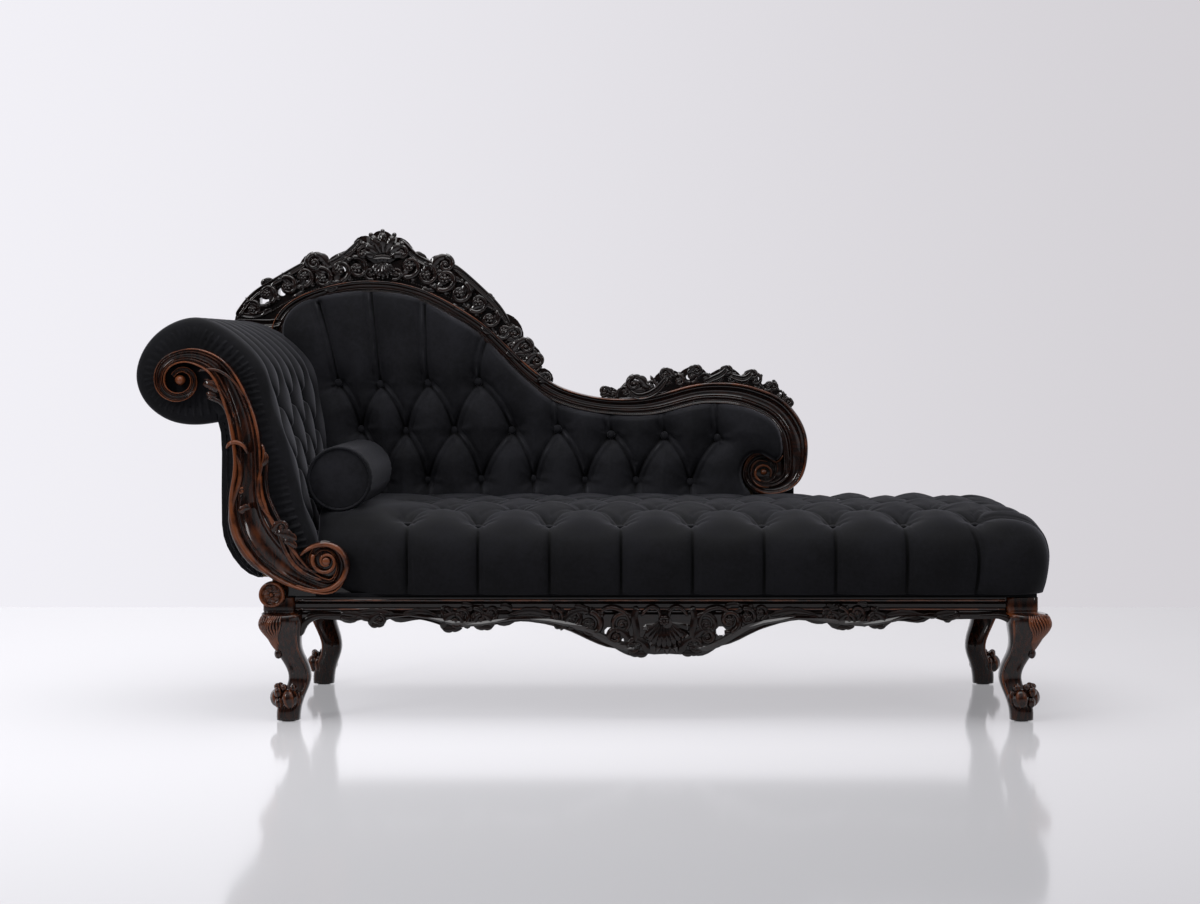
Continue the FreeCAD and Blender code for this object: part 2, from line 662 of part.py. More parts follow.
def arm_core_wire(y, inset):
    """Outline of the wooden core inside the pad, closed down the outside of the arm."""
    flare = (y - arm_front_y) / (arm_rear_y - arm_front_y)
    inner = [point(x, y, z) for x, z in arm_outline(flare, arm_pad_thickness + inset)]
    side_x = arm_xz(*arm_outside_shares[1])[0] + arm_panel_thickness + clear
    foot_x = arm_xz(*arm_outside_shares[-1])[0] + arm_panel_thickness
    inner[0].z = rail_top_z
    shoulder = point(side_x, y, inner[-1].z)
    waist = point(side_x, y, arm_xz(*arm_outside_shares[2])[1])
    foot = point(foot_x, y, rail_top_z)
    return inner + [shoulder, waist, foot]


def make_arm_board(y0, y1):
    start = arm_core_wire(y0, board_fit)
    end = arm_core_wire(y1, board_fit)
    return skin([start, end])


def batten_places():
    """Middles of the battens that join the two boards, inside the roll and down the arm."""
    return [arm_xz(u, v) for u, v in batten_shares]


def make_arm_battens(front_y):
    """The batten in the roll runs on to the roll's end board, the others end in the rear board."""
    ends = [arm_rear_y - arm_board_thickness, arm_notch_y, arm_notch_y]
    return group([
        rod(point(x, front_y, z), point(x, rear_y, z), batten_radius)
        for (x, z), rear_y in zip(batten_places(), ends)
    ])


def make_arm_outer_panel():
    outer = [arm_xz(u, v) for u, v in arm_outside_shares]
    inner = [(x + arm_panel_thickness, z) for x, z in outer[::-1]]
    return slab([outer, [outer[-1], inner[0]], inner, [inner[-1], outer[0]]], arm_front_y, arm_rear_y)


def scroll_stations():
    upper_x, upper_z = arm_xz(*upper_eye_shares)
    lower_x, lower_z = arm_xz(*lower_eye_shares)
    stations = []
    for u, v, width in upper_volute_shares[::-1]:
        stations.append((upper_x + u * scroll_radius, upper_z + v * scroll_radius, width * scroll_band))
    stations += [arm_xz(u, v) + (width * scroll_band,) for u, v, width in arm_scroll_shares]
    for u, v, width in lower_volute_shares:
        stations.append((lower_x + u * scroll_radius, lower_z + v * scroll_radius, width * scroll_band))
    return stations


def make_arm_scroll():
    back_y = arm_front_y - clear
    face_y = back_y - arm_scroll_base
    relief = arm_scroll_relief - arm_scroll_base
    band = band_loft(scroll_stations(), moulding_profile_shares, face_y, back_y, relief)
    eyes = []
    for shares in (upper_eye_shares, lower_eye_shares):
        x, z = arm_xz(*shares)
        front = point(x, back_y - arm_scroll_relief, z)
        eyes.append(rod(point(x, back_y, z), front, scroll_eye_share * scroll_radius))
    return band.fuse(eyes)


def cushion_section(z, inset):
    """A rounded rectangle, the plan of the seat cushion at one height."""
    x0, x1 = seat_left_x, seat_end_x - inset
    y0, y1 = -seat_side_y + inset, seat_side_y - inset
    r = cushion_corner_radius
    corners = [point(x0, y0, z)]
    for middle_y, way in ((y0 + r, -1), (y1 - r, 1)):
        turn = []
        for step in range(corner_steps + 1):
            angle = math.pi / 2 * step / corner_steps
            turn.append(point(x1 - r + r * math.sin(angle), middle_y + way * r * math.cos(angle), z))
        corners += turn[::-way]
    return corners + [point(x0, y1, z)]


def seat_tufts():
    """Button places of the seat, row by row, every other row half a pitch over."""
    rows = []
    row_count = int((seat_side_y - seat_front_row_y) / seat_row_pitch) + 1
    for row in range(row_count):
        y = seat_front_row_y + row * seat_row_pitch
        start = seat_first_tuft_x + (row % 2) * seat_tuft_pitch / 2
        count = int((seat_end_x - seat_tuft_pitch / 3 - start) / seat_tuft_pitch) + 1
        places = [start + column * seat_tuft_pitch for column in range(count)]
        if y > cushion_back_y - tuft_radius:
            places = [x for x in places if x > seat_behind_x + tuft_radius]
        rows.append([(x, y) for x in places])
    return rows


def tuft_pit(surface, inward, level, radius, depth):
    """A pit at a button: a four-sided pyramid whose corners lie in the creases.

    level is a direction in the surface that points along the rows."""
    way = inward * (-1)
    other = way.cross(level)
    corners = [level * radius, other * radius, level * (-radius), other * (-radius)]
    seat = (button_radius * math.sqrt(2) + clear) / radius
    floor = [surface + inward * depth + corner * seat for corner in corners]
    lip = surface + way * overrun
    grow = 1 + (1 - seat) * overrun / depth
    mouth = [lip + corner * grow for corner in corners]
    return skin([floor, mouth])


def groove(start, end, outward, width, depth):
    """A crease: a triangular prism sunk by depth along the line from start to end."""
    along = end.sub(start)
    side = along.cross(outward)
    side.normalize()
    up = outward * depth
    corners = [start + side * width + up, start - side * width + up, start - up]
    face = Part.Face(Part.makePolygon(corners + corners[:1]))
    return face.extrude(along)


def make_seat_cushion():
    height = seat_top_z - cushion_bottom_z
    sections = [
        cushion_section(cushion_bottom_z + up * height, reach * cushion_crown_reach)
        for up, reach in cushion_crown_shares
    ]
    cushion = skin(sections)
    behind = block(
        seat_left_x - overrun, seat_behind_x, cushion_back_y, seat_side_y + overrun, rail_bottom_z,
        seat_top_z + overrun,
    )
    tack_y = frame_side_y - tack_step
    tack_x = frame_right_x - tack_step
    well = block(
        seat_left_x - overrun, tack_x + clear, -tack_y - clear, tack_y + clear,
        rail_bottom_z, rail_top_z + 2 * web_thickness,
    )
    foam = foam_block(clear)
    up = point(0, 0, 1)
    rows = seat_tufts()
    cuts = []
    for row in rows:
        for x, y in row:
            cuts.append(tuft_pit(point(x, y, seat_top_z), up * (-1), point(1, 0, 0), tuft_radius, tuft_depth))
    for row, after in zip(rows, rows[1:]):
        for x, y in row:
            for other_x, other_y in after:
                if abs(abs(other_x - x) - seat_tuft_pitch / 2) < clear:
                    cuts.append(groove(
                        point(x, y, seat_top_z), point(other_x, other_y, seat_top_z), up,
                        crease_width, crease_depth,
                    ))
    for x, y in rows[0]:
        front = -seat_side_y
        shoulder = point(x, front + crease_depth, seat_top_z - 2 * tuft_depth)
        foot = point(x, front + crease_depth / 2, cushion_bottom_z - overrun)
        cuts.append(groove(foot, shoulder, point(0, -1, 0), pleat_width, pleat_depth))
        floor = point(x, y, seat_top_z - tuft_depth)
        cuts.append(groove(shoulder, floor, point(0, -1, 1).normalize(), pleat_width, pleat_depth))
    return cushion.cut([behind, well, foam]).cut(cuts)


def foam_block(grow):
    return block(
        seat_left_x + foam_side_inset - grow, frame_right_x - foam_side_inset + grow,
        -frame_side_y + foam_side_inset - grow, cushion_back_y - foam_side_inset + grow,
        rail_top_z + 2 * web_thickness, rail_top_z + 2 * web_thickness + foam_height + grow,
    )


def button(place, outward, radius):
    """A covered button: a low crown on the floor of its pit."""
    stations = [(up * button_height, share * radius) for up, share in button_profile_shares]
    return turned(place, outward, stations, button_sides)


def make_seat_buttons():
    up = point(0, 0, 1)
    return group([
        button(point(x, y, seat_top_z - tuft_depth), up, button_radius)
        for row in seat_tufts() for x, y in row
    ])


def back_pad_wire(y, inset):
    points = [back_xz(u, v) for u, v in back_pad_edge_shares]
    moved = []
    last = len(points) - 1
    for index, (x, z) in enumerate(points):
        ahead, behind = points[min(index + 1, last)], points[max(index - 1, 0)]
        run_x, run_z = ahead[0] - behind[0], ahead[1] - behind[1]
        size = math.hypot(run_x, run_z)
        moved.append(point(x + run_z / size * inset, y, z - run_x / size * inset))
    foot_z = seat_top_z + clear
    moved[0].z = foot_z
    moved[last].z = foot_z
    return moved


def make_back_pad(rail, arm_pad):
    depth = pad_back_y - pad_front_y
    sections = [
        back_pad_wire(pad_back_y - forward * depth, reach * pad_crown)
        for forward, reach in back_pad_crown_shares
    ]
    pad = skin(sections).cut(rail).cut(arm_pad)
    out = point(0, -1, 0)
    level = point(1, 0, 0)
    cuts = []
    places = [back_xz(u, v) for u, v in back_tuft_shares]
    for x, z in places:
        cuts.append(tuft_pit(point(x, pad_front_y, z), out * (-1), level, back_tuft_radius, back_tuft_depth))
    for upper, lower in zip(back_rows, back_rows[1:]):
        for x, z in places[upper[0]:upper[1]]:
            for other_x, other_z in places[lower[0]:lower[1]]:
                if abs(other_x - x) < back_tuft_pitch * back_crease_share:
                    cuts.append(groove(
                        point(x, pad_front_y, z), point(other_x, pad_front_y, other_z), out,
                        crease_width, crease_depth,
                    ))
    for x, z in places[:4] + places[8:12]:
        top = point(x, pad_front_y, rail_underside(x) - rail_band / 2)
        cuts.append(groove(point(x, pad_front_y, z), top, out, pleat_width, pleat_depth))
    for x, z in places[12:]:
        foot = point(x, pad_front_y, seat_top_z - overrun)
        cuts.append(groove(foot, point(x, pad_front_y, z), out, pleat_width, pleat_depth))
    return pad.cut(cuts)


def make_back_buttons():
    out = point(0, -1, 0)
    return group([
        button(point(x, pad_front_y + back_tuft_depth, z), out, button_radius)
        for x, z in [back_xz(u, v) for u, v in back_tuft_shares]
    ])


def rail_profile(outer, inner, tack, bead):
    """Section of a show rail: a bead, a flat and a ledge, with a rebate for the cover."""
    return [
        (inner, rail_bottom_z), (outer - bead / 2, rail_bottom_z), (outer, rail_bottom_z + cover_bead),
        (outer - bead, rail_bottom_z + 2 * cover_bead), (outer - bead, show_top_z - 2 * cover_bead),
        (outer, show_top_z - cover_bead), (outer, show_top_z), (tack, show_top_z), (tack, rail_top_z),
        (inner, rail_top_z),
    ]


def make_side_rail(side):
    """A long rail; side is -1 for the front and +1 for the back."""
    outer = side * frame_side_y
    inner = side * (frame_side_y - rail_thickness)
    tack = side * (frame_side_y - tack_step)
    x0 = frame_left_x + leg_block
    x1 = frame_right_x - leg_block
    corners = [point(x0, y, z) for y, z in rail_profile(outer, inner, tack, side * cover_bead)]
    rail = Part.Face(Part.makePolygon(corners + corners[:1])).extrude(point(x1 - x0, 0, 0))
    middle_y = (tack + inner) / 2
    middle_z = (rail_bottom_z + rail_top_z) / 2
    tenon = block(
        x0 - tenon_length, x1 + tenon_length, middle_y - tenon_thickness / 2, middle_y + tenon_thickness / 2,
        middle_z - tenon_height / 2, middle_z + tenon_height / 2,
    )
    return rail.fuse(tenon).removeSplitter()


def make_end_rail(side):
    """A cross rail; side is -1 for the head and +1 for the foot end."""
    outer = frame_left_x if side < 0 else frame_right_x
    inner = outer - side * rail_thickness
    tack = outer - side * tack_step
    y0 = -frame_side_y + leg_block
    y1 = frame_side_y - leg_block
    corners = [point(x, y0, z) for x, z in rail_profile(outer, inner, tack, side * cover_bead)]
    rail = Part.Face(Part.makePolygon(corners + corners[:1])).extrude(point(0, y1 - y0, 0))
    middle_x = (tack + inner) / 2
    middle_z = (rail_bottom_z + rail_top_z) / 2
    tenon = block(
        middle_x - tenon_thickness / 2, middle_x + tenon_thickness / 2,
        y0 - tenon_length / 2, y1 + tenon_length / 2,
        middle_z - tenon_height / 2, middle_z + tenon_height / 2,
    )
    return rail.fuse(tenon).removeSplitter()


def leg_section(x, y, z, width):
    """A square with chamfered corners, the leg's section at one height."""
    half = width / 2
    flat = half * (1 - leg_chamfer_share)
    corners = [
        (half, -flat), (half, flat), (flat, half), (-flat, half),
        (-half, flat), (-half, -flat), (-flat, -half), (flat, -half),
    ]
    return [point(x + dx, y + dy, z) for dx, dy in corners]


def leg_lines():
    """Smooth curves of sweep and width against height, through the leg's sections."""
    heights = [height for height, sweep, width in leg_section_shares]
    lines = []
    for index in (1, 2):
        line = Part.BSplineCurve()
        line.interpolate(Points=[point(at[index], 0, at[0]) for at in leg_section_shares], Parameters=heights)
        lines.append(line)
    return lines


def make_leg(end, side, rails):
    """One cabriole leg; end is -1 at the head and +1 at the foot end, side as for the rails."""
    foot_x = left_foot_x if end < 0 else right_foot_x
    foot_y = side * foot_side_y
    rise = rail_bottom_z - glide_height
    sweeps, widths = leg_lines()
    sections = []
    for step in range(leg_steps + 1):
        at = step / leg_steps
        shift = -sweeps.value(at).x * leg_sweep_out
        width = widths.value(at).x * knee_width
        place = point(foot_x + end * shift, foot_y + side * shift, glide_height + at * rise)
        sections.append(leg_section(place.x, place.y, place.z, width))
    leg = skin(sections)
    x0 = frame_left_x if end < 0 else frame_right_x - leg_block
    y0 = -frame_side_y if side < 0 else frame_side_y - leg_block
    top = block(x0, x0 + leg_block, y0, y0 + leg_block, rail_bottom_z, rail_top_z)
    rebate_x = block(x0, x0 + tack_step, y0, y0 + leg_block, show_top_z, rail_top_z)
    if end > 0:
        rebate_x.translate(point(leg_block - tack_step, 0, 0))
    rebate_y = block(x0, x0 + leg_block, y0, y0 + tack_step, show_top_z, rail_top_z)
    if side > 0:
        rebate_y.translate(point(0, leg_block - tack_step, 0))
    top = top.cut([rebate_x, rebate_y])
    diagonal = point(end, side, 0).normalize()
    level = point(-diagonal.y, diagonal.x, 0)
    toe_middle = point(foot_x, foot_y, toe_height_share * rail_bottom_z) + diagonal * (foot_width / 2)
    toe = rod(toe_middle - level * (toe_length / 2), toe_middle + level * (toe_length / 2), toe_radius)
    leaf_place = point(foot_x, foot_y, knee_leaf_height_share * rail_bottom_z) + diagonal * (knee_width / 2)
    down = point(-end * knee_leaf_lean, -side * knee_leaf_lean, -1)
    stations = [(reach * knee_leaf_length, share * knee_leaf_radius) for reach, share in knee_leaf_shares]
    leaf = turned(leaf_place - down * knee_leaf_radius, down, stations, rib_sides)
    return fuse_all([leg, top, toe, leaf]).cut(rails)


def make_glides():
    glides = []
    for x in (left_foot_x, right_foot_x):
        for y in (-foot_side_y, foot_side_y):
            glides.append(rod(point(x, y, 0), point(x, y, glide_height), glide_radius))
    return group(glides)


def corner_places():
    inner = frame_side_y - rail_thickness
    return [
        (frame_left_x + leg_block, -inner, 1, 1), (frame_left_x + leg_block, inner, 1, -1),
        (frame_right_x - leg_block, -inner, -1, 1), (frame_right_x - leg_block, inner, -1, -1),
    ]


def make_corner_blocks(screws, legs):
    blocks = []
    z0 = (rail_bottom_z + rail_top_z - corner_height) / 2
    for x, y, way_x, way_y in corner_places():
        leg_x = x - way_x * (leg_block - rail_thickness)
        far_y = y + way_y * (corner_leg + leg_block - rail_thickness)
        corners = [point(leg_x, y, z0), point(x + way_x * corner_leg, y, z0), point(leg_x, far_y, z0)]
        face = Part.Face(Part.makePolygon(corners + corners[:1]))
        blocks.append(face.extrude(point(0, 0, corner_height)).cut(screws).cut(legs))
    return group(blocks)


def make_corner_screws():
    """Two screws in each corner block, one into the long rail and one into the leg."""
    screws = []
    z = (rail_bottom_z + rail_top_z) / 2
    for x, y, way_x, way_y in corner_places():
        for rise in (-1, 1):
            level = z + rise * corner_height / 4
            head = point(x + way_x * corner_leg / 3, y + way_y * screw_length * screw_inside_share, level)
            tip = point(head.x, y - way_y * rail_thickness / 2, level)
            inward = tip.sub(head).normalize()
            length = head.distanceToPoint(tip)
            screws.append(turned(head, inward, [
                (0, screw_head_radius), (screw_head_height, screw_radius), (length, screw_radius),
            ], rib_sides))
    return group(screws)


def make_cross_webbing():
    x0 = seat_left_x + web_width
    x1 = frame_right_x - leg_block - web_width
    pitch = (x1 - x0) / (cross_web_count - 1)
    straps = []
    for index in range(cross_web_count):
        x = x0 + index * pitch
        straps.append(block(
            x - web_width / 2, x + web_width / 2, -frame_side_y + tack_step + web_inset,
            frame_side_y - tack_step - web_inset, rail_top_z, rail_top_z + web_thickness,
        ))
    return group(straps)


def make_long_webbing():
    y0 = -frame_side_y + leg_block + web_width / 2 + web_inset
    y1 = cushion_back_y - leg_block
    pitch = (y1 - y0) / (long_web_count - 1)
    z0 = rail_top_z + web_thickness
    straps = []
    for index in range(long_web_count):
        y = y0 + index * pitch
        straps.append(block(
            frame_left_x + leg_block + web_inset, frame_right_x - tack_step - web_inset,
            y - web_width / 2, y + web_width / 2, z0, z0 + web_thickness,
        ))
    return group(straps)


def make_dust_cover():
    inner = frame_side_y - rail_thickness
    sheet = block(
        frame_left_x + rail_thickness / 2, frame_right_x - rail_thickness / 2,
        -inner - rail_thickness / 3, inner + rail_thickness / 3,
        rail_bottom_z - dust_thickness, rail_bottom_z,
    )
    corners = []
    reach = leg_block + web_width
    z0 = rail_bottom_z - 2 * dust_thickness
    z1 = rail_bottom_z + dust_thickness
    for x0 in (frame_left_x, frame_right_x - reach):
        for y0 in (-frame_side_y, frame_side_y - reach):
            corners.append(block(x0, x0 + reach, y0, y0 + reach, z0, z1))
    return sheet.cut(corners)


def make_front_apron(rail):
    lobes = [[apron_xz(u, v) for u, v in lobe] for lobe in apron_lobe_shares]
    left_top = (lobes[0][0][0], rail_bottom_z)
    right_top = (lobes[-1][-1][0], rail_bottom_z)
    spans = lobes + [[lobes[-1][-1], right_top], [right_top, left_top], [left_top, lobes[0][0]]]
    plate = slab(spans, apron_front_y, apron_back_y)
    holes = []
    for u, v, size in apron_hole_shares:
        x, z = apron_xz(u, v)
        start = point(x, apron_front_y - overrun, z)
        holes.append(rod(start, point(x, apron_back_y + overrun, z), size * pierce_radius, pierce_sides))
    raised = []
    inside_y = apron_front_y + apron_relief
    for scroll in apron_scroll_shares:
        stations = [apron_xz(u, v) + (width * apron_scroll_width,) for u, v, width in scroll]
        raised.append(band_loft(stations, ribbon_profile_shares, apron_front_y, inside_y, apron_relief))
    eye_x, eye_z = apron_xz(*shell_eye_shares)
    raised += shell_fan(eye_x, eye_z, shell_radius, shell_ribs, apron_front_y, apron_relief, -1)
    top = block(
        apron_left_x, apron_left_x + apron_length, apron_front_y - 2 * overrun, apron_back_y + overrun,
        rail_bottom_z, rail_bottom_z + overrun + shell_radius,
    )
    return fuse_all([plate.cut(holes)] + raised).cut(top).cut(rail)


def make_boss():
    """The turned rosette in front of the leg's top: a dished ring round a button."""
    x = frame_left_x + boss_radius - cover_bead
    z = rail_bottom_z + boss_radius + 2 * cover_bead
    start = point(x, -frame_side_y - clear, z)
    stations = [(depth * boss_depth, radius * boss_radius) for depth, radius in boss_profile_shares]
    return turned(start, point(0, -1, 0), stations, boss_sides)


def make_seat_trim():
    """The braid below the cushion: a strip round the front, the foot end and the open back."""
    z0 = show_top_z
    z1 = cushion_bottom_z - clear
    outer = frame_side_y - cover_bead / 2
    inner = frame_side_y - tack_step + clear
    end_outer = frame_right_x - cover_bead / 2
    end_inner = frame_right_x - tack_step + clear
    past_x = seat_left_x - overrun
    strip = block(seat_left_x, end_outer, -outer, outer, z0, z1)
    hollow = block(past_x, end_inner, -inner, inner, z0 - overrun, z1 + overrun)
    behind = block(past_x, seat_behind_x, inner - overrun, outer + overrun, z0 - overrun, z1 + overrun)
    return strip.cut([hollow, behind])


def upright_places():
    first = stile_left_x + stile_width
    last = back_xz(*back_eye_shares)[0]
    span = (last - first) / (upright_count + 1)
    return [first + span * (count + 1) for count in range(upright_count)]


def make_back_uprights(rail):
    posts = []
    for x in upright_places():
        posts.append(block(
            x - upright_width / 2, x + upright_width / 2, upright_front_y, rail_back_y, rail_top_z,
            min(rail_underside(x - upright_width / 2), rail_underside(x + upright_width / 2)),
        ).cut(rail))
    return group(posts)


def make_left_stile(rail):
    return block(
        stile_left_x, stile_left_x + stile_width, upright_front_y, rail_back_y, rail_top_z,
        rail_underside(stile_left_x),
    ).cut(rail)


def make_right_stile(rail):
    x = back_xz(*back_eye_shares)[0]
    z = back_xz(*back_eye_shares)[1]
    return block(
        x - upright_width / 2, x + upright_width / 2, upright_front_y, rail_back_y, rail_top_z,
        z - stile_head_share * volute_radius,
    ).cut(rail)


def make_tack_rails():
    """Short rails between the uprights, to which the inside of the back is tacked."""
    eye_x = back_xz(*back_eye_shares)[0]
    starts = [stile_left_x + stile_width] + [x + upright_width / 2 for x in upright_places()]
    ends = [x - upright_width / 2 for x in upright_places()] + [eye_x - upright_width / 2]
    z1 = seat_top_z - cover_bead
    return group([
        block(start, end, upright_front_y, rail_back_y, z1 - tack_rail_height, z1)
        for start, end in zip(starts, ends)
    ])


def make_back_webbing(rail):
    first = stile_left_x + stile_width + web_width
    last = back_xz(*back_eye_shares)[0] - web_width
    pitch = (last - first) / (back_web_count - 1)
    straps = []
    for index in range(back_web_count):
        x0 = first + index * pitch - web_width / 2
        x1 = x0 + web_width
        straps.append(block(
            x0, x1, upright_front_y - web_thickness, upright_front_y,
            seat_top_z - tack_rail_height, min(rail_underside(x0), rail_underside(x1)),
        ).cut(rail))
    return group(straps)


def make_back_outer_panel():
    top = [back_xz(u, v) for u, v, width in back_rail_shares]
    waist = (top[0][0], arm_xz(*arm_outside_shares[2])[1])
    foot_left = (stile_left_x, rail_top_z)
    foot_right = (top[-1][0], rail_top_z)
    spans = [top, [top[-1], foot_right], [foot_right, foot_left], [foot_left, waist], [waist, top[0]]]
    return slab(spans, rail_back_y, rail_back_y + back_panel_thickness)


def bolster_start():
    """The middle of the bolster's front end, with a flat of its side down on the seat."""
    rest = bolster_radius * math.cos(math.pi / bolster_flats)
    return point(bolster_x, bolster_front_y, seat_top_z + clear + rest)


def bolster_rim():
    """Radius of the seam, part of the way out over the rounded edge."""
    return bolster_radius - bolster_edge_round * bolster_seam_share


def make_bolster(piping):
    """A round bolster, lying across the seat beside the arm, with a piped seam round each end."""
    seam = bolster_end_crown + bolster_edge_round * bolster_seam_share
    half = [
        (0, bolster_radius * bolster_end_share), (bolster_end_crown, bolster_radius - bolster_edge_round),
        (seam, bolster_rim()), (bolster_end_crown + bolster_edge_round, bolster_radius),
    ]
    stations = half + [(bolster_length - reach, radius) for reach, radius in half[::-1]]
    return turned(bolster_start(), point(0, 1, 0), stations, bolster_flats).cut(piping)


def make_bolster_piping():
    """A cord ring let into the rim at each end."""
    rings = []
    seam = bolster_end_crown + bolster_edge_round * bolster_seam_share
    along = point(0, 1, 0)
    for y in (seam, bolster_length - seam):
        start = bolster_start() + point(0, y - piping_radius, 0)
        rim = bolster_rim()
        stations = [(back * piping_radius, rim + out * piping_radius) for back, out in piping_shares]
        outside = turned(start, along, stations, bolster_flats)
        hole = rim - piping_radius
        past = overrun + 2 * piping_radius
        inside = turned(start - along * overrun, along, [(0, hole), (overrun + past, hole)], bolster_flats)
        rings.append(outside.cut(inside))
    return group(rings)


def make_back_dowels():
    """Dowels that stand the uprights on the back rail."""
    dowels = []
    for x in upright_places():
        for way in (-1, 1):
            place = x + way * upright_width / 4
            y = (upright_front_y + rail_back_y) / 2
            middle = point(place, y, rail_top_z)
            half = point(0, 0, dowel_length / 2)
            dowels.append(rod(middle - half, middle + half, dowel_radius, button_sides))
    return group(dowels)


def arm_tuft_places():
    """Buttons on the inside of the arm, on the joins of the flutes, with the way inwards."""
    places = []
    length = (arm_rear_y - arm_front_y) / flute_count
    for join in arm_tuft_joins:
        y = arm_front_y + join * length
        flare = (y - arm_front_y) / (arm_rear_y - arm_front_y)
        line = arm_outline(flare, flute_depth)
        for place in arm_tuft_places_along:
            x, z = line[place]
            run_x, run_z = line[place + 1][0] - line[place - 1][0], line[place + 1][1] - line[place - 1][1]
            size = math.hypot(run_x, run_z)
            places.append((point(x, y, z), point(run_z / size, 0, -run_x / size)))
    return places


def make_arm_buttons():
    return group([
        button(place - outward * arm_tuft_depth, outward, button_radius)
        for place, outward in arm_tuft_places()
    ])


def tuft_arm(pad):
    return pad.cut([
        tuft_pit(place, outward * (-1), point(0, 1, 0), arm_tuft_radius, arm_tuft_depth)
        for place, outward in arm_tuft_places()
    ])


def save(name, shape):
    shape.exportStep("parts/" + name + ".step")
    print(name, "solids", len(shape.Solids), "valid", shape.isValid(), "litres", round(shape.Volume / 1e6, 3))


def main():
    os.makedirs("parts", exist_ok=True)
    dowels = make_back_dowels()
    arm_scroll = make_arm_scroll()
    arm_pad = make_arm_pad()
    front_rail = make_side_rail(-1)
    rear_rail = make_side_rail(1)
    head_rail = make_end_rail(-1)
    foot_rail = make_end_rail(1)
    rails = [front_rail, rear_rail, head_rail, foot_rail]
    screws = make_corner_screws()
    legs = {
        "front_left_leg": make_leg(-1, -1, rails), "front_right_leg": make_leg(1, -1, rails),
        "rear_left_leg": make_leg(-1, 1, rails), "rear_right_leg": make_leg(1, 1, rails),
    }
    save("front_rail", front_rail.cut(screws))
    save("rear_rail", rear_rail.cut(screws).cut(dowels))
    save("head_rail", head_rail)
    save("foot_rail", foot_rail)
    for name, leg in legs.items():
        save(name, leg)
    save("corner_blocks", make_corner_blocks(screws, list(legs.values())))
    save("corner_screws", screws)
    save("foot_glides", make_glides())
    save("front_apron", make_front_apron(front_rail))
    save("arm_boss", make_boss())
    save("long_webbing", make_long_webbing())
    save("dust_cover", make_dust_cover())
    save("seat_foam", foam_block(0))
    save("seat_cushion", make_seat_cushion().cut(arm_scroll).cut(arm_pad))
    save("seat_buttons", make_seat_buttons())
    save("seat_trim", make_seat_trim())

    top_rail = make_back_top_rail()
    save("back_top_rail", top_rail)
    save("back_crest", make_crest(top_rail))
    save("small_crest", make_small_crest(top_rail))
    uprights = make_back_uprights(top_rail)
    right_stile = make_right_stile(top_rail)
    save("back_uprights", uprights.cut(dowels))
    save("back_left_stile", make_left_stile(top_rail))
    save("back_right_stile", right_stile)
    save("cross_webbing", make_cross_webbing().cut([uprights, right_stile]))
    save("back_tack_rails", make_tack_rails())
    save("back_dowels", dowels)
    save("back_webbing", make_back_webbing(top_rail))
    save("back_outer_panel", make_back_outer_panel())

    board_y = arm_front_y + facing_thickness
    battens = make_arm_battens(board_y + arm_board_thickness)
    rear_board_y = arm_notch_y - arm_board_thickness
    roll_board = make_arm_board(arm_rear_y - arm_board_thickness, arm_rear_y).cut(back_notch())
    save("arm_pad", tuft_arm(arm_pad))
    save("arm_buttons", make_arm_buttons())
    save("arm_facing", make_arm_board(arm_front_y, board_y))
    save("arm_front_board", make_arm_board(board_y, board_y + arm_board_thickness))
    save("arm_rear_board", make_arm_board(rear_board_y, arm_notch_y).cut(battens))
    save("arm_roll_board", roll_board)
    save("arm_battens", battens)
    save("arm_outer_panel", make_arm_outer_panel())
    save("arm_scroll", arm_scroll)
    save("back_pad", make_back_pad(top_rail, arm_pad))
    save("back_buttons", make_back_buttons())
    piping = make_bolster_piping()
    save("bolster", make_bolster(piping))
    save("bolster_piping", piping)


main()
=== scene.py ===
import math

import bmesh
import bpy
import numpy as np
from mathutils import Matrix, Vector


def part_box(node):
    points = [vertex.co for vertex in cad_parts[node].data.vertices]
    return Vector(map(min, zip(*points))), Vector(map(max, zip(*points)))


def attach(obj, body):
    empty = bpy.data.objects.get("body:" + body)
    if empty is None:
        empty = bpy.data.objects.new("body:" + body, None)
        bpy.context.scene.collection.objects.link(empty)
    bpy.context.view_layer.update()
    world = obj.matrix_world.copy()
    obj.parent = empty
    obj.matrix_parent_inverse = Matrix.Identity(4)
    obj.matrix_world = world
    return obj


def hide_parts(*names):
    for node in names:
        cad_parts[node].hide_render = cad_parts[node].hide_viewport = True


bl_info = {
    "name": "Tufted chaise longue",
    "version": (1, 0, 0),
    "blender": (4, 5, 0),
    "location": "3D View > Sidebar > Chaise",
    "description": "Dresses a chaise longue with tufted velvet and carved, lacquered wood",
    "category": "Object",
}

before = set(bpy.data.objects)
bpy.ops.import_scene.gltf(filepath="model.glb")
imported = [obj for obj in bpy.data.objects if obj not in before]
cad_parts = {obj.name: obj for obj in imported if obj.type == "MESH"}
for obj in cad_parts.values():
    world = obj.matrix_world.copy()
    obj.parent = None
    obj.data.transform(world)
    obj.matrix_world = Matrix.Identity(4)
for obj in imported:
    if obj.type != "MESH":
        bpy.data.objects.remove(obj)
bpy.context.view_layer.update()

# The photograph's camera: where it stands, in metres, and its picture plane, in pixels.
CAMERA_PLACE = (0.0936, -5.28, 0.7635)
FOCAL_PIXELS = 2400.0
AXIS_PIXELS = (640.0, 354.0)
PICTURE = (1200.0, 904.0)
SENSOR = 36.0

# Planes that the carvings stand on, front faces, in metres.
CREST_FACE = 0.2405
RAIL_FACE = 0.245
ARM_FACE = -0.314
APRON_FACE = -0.300

# The back and the arm: left end, length, foot and rise, that the shares below are of.
BACK_SPAN = (-0.840, 1.320, 0.440, 0.606)
ARM_SPAN = (-0.9553, 0.440, 0.258, 0.578)

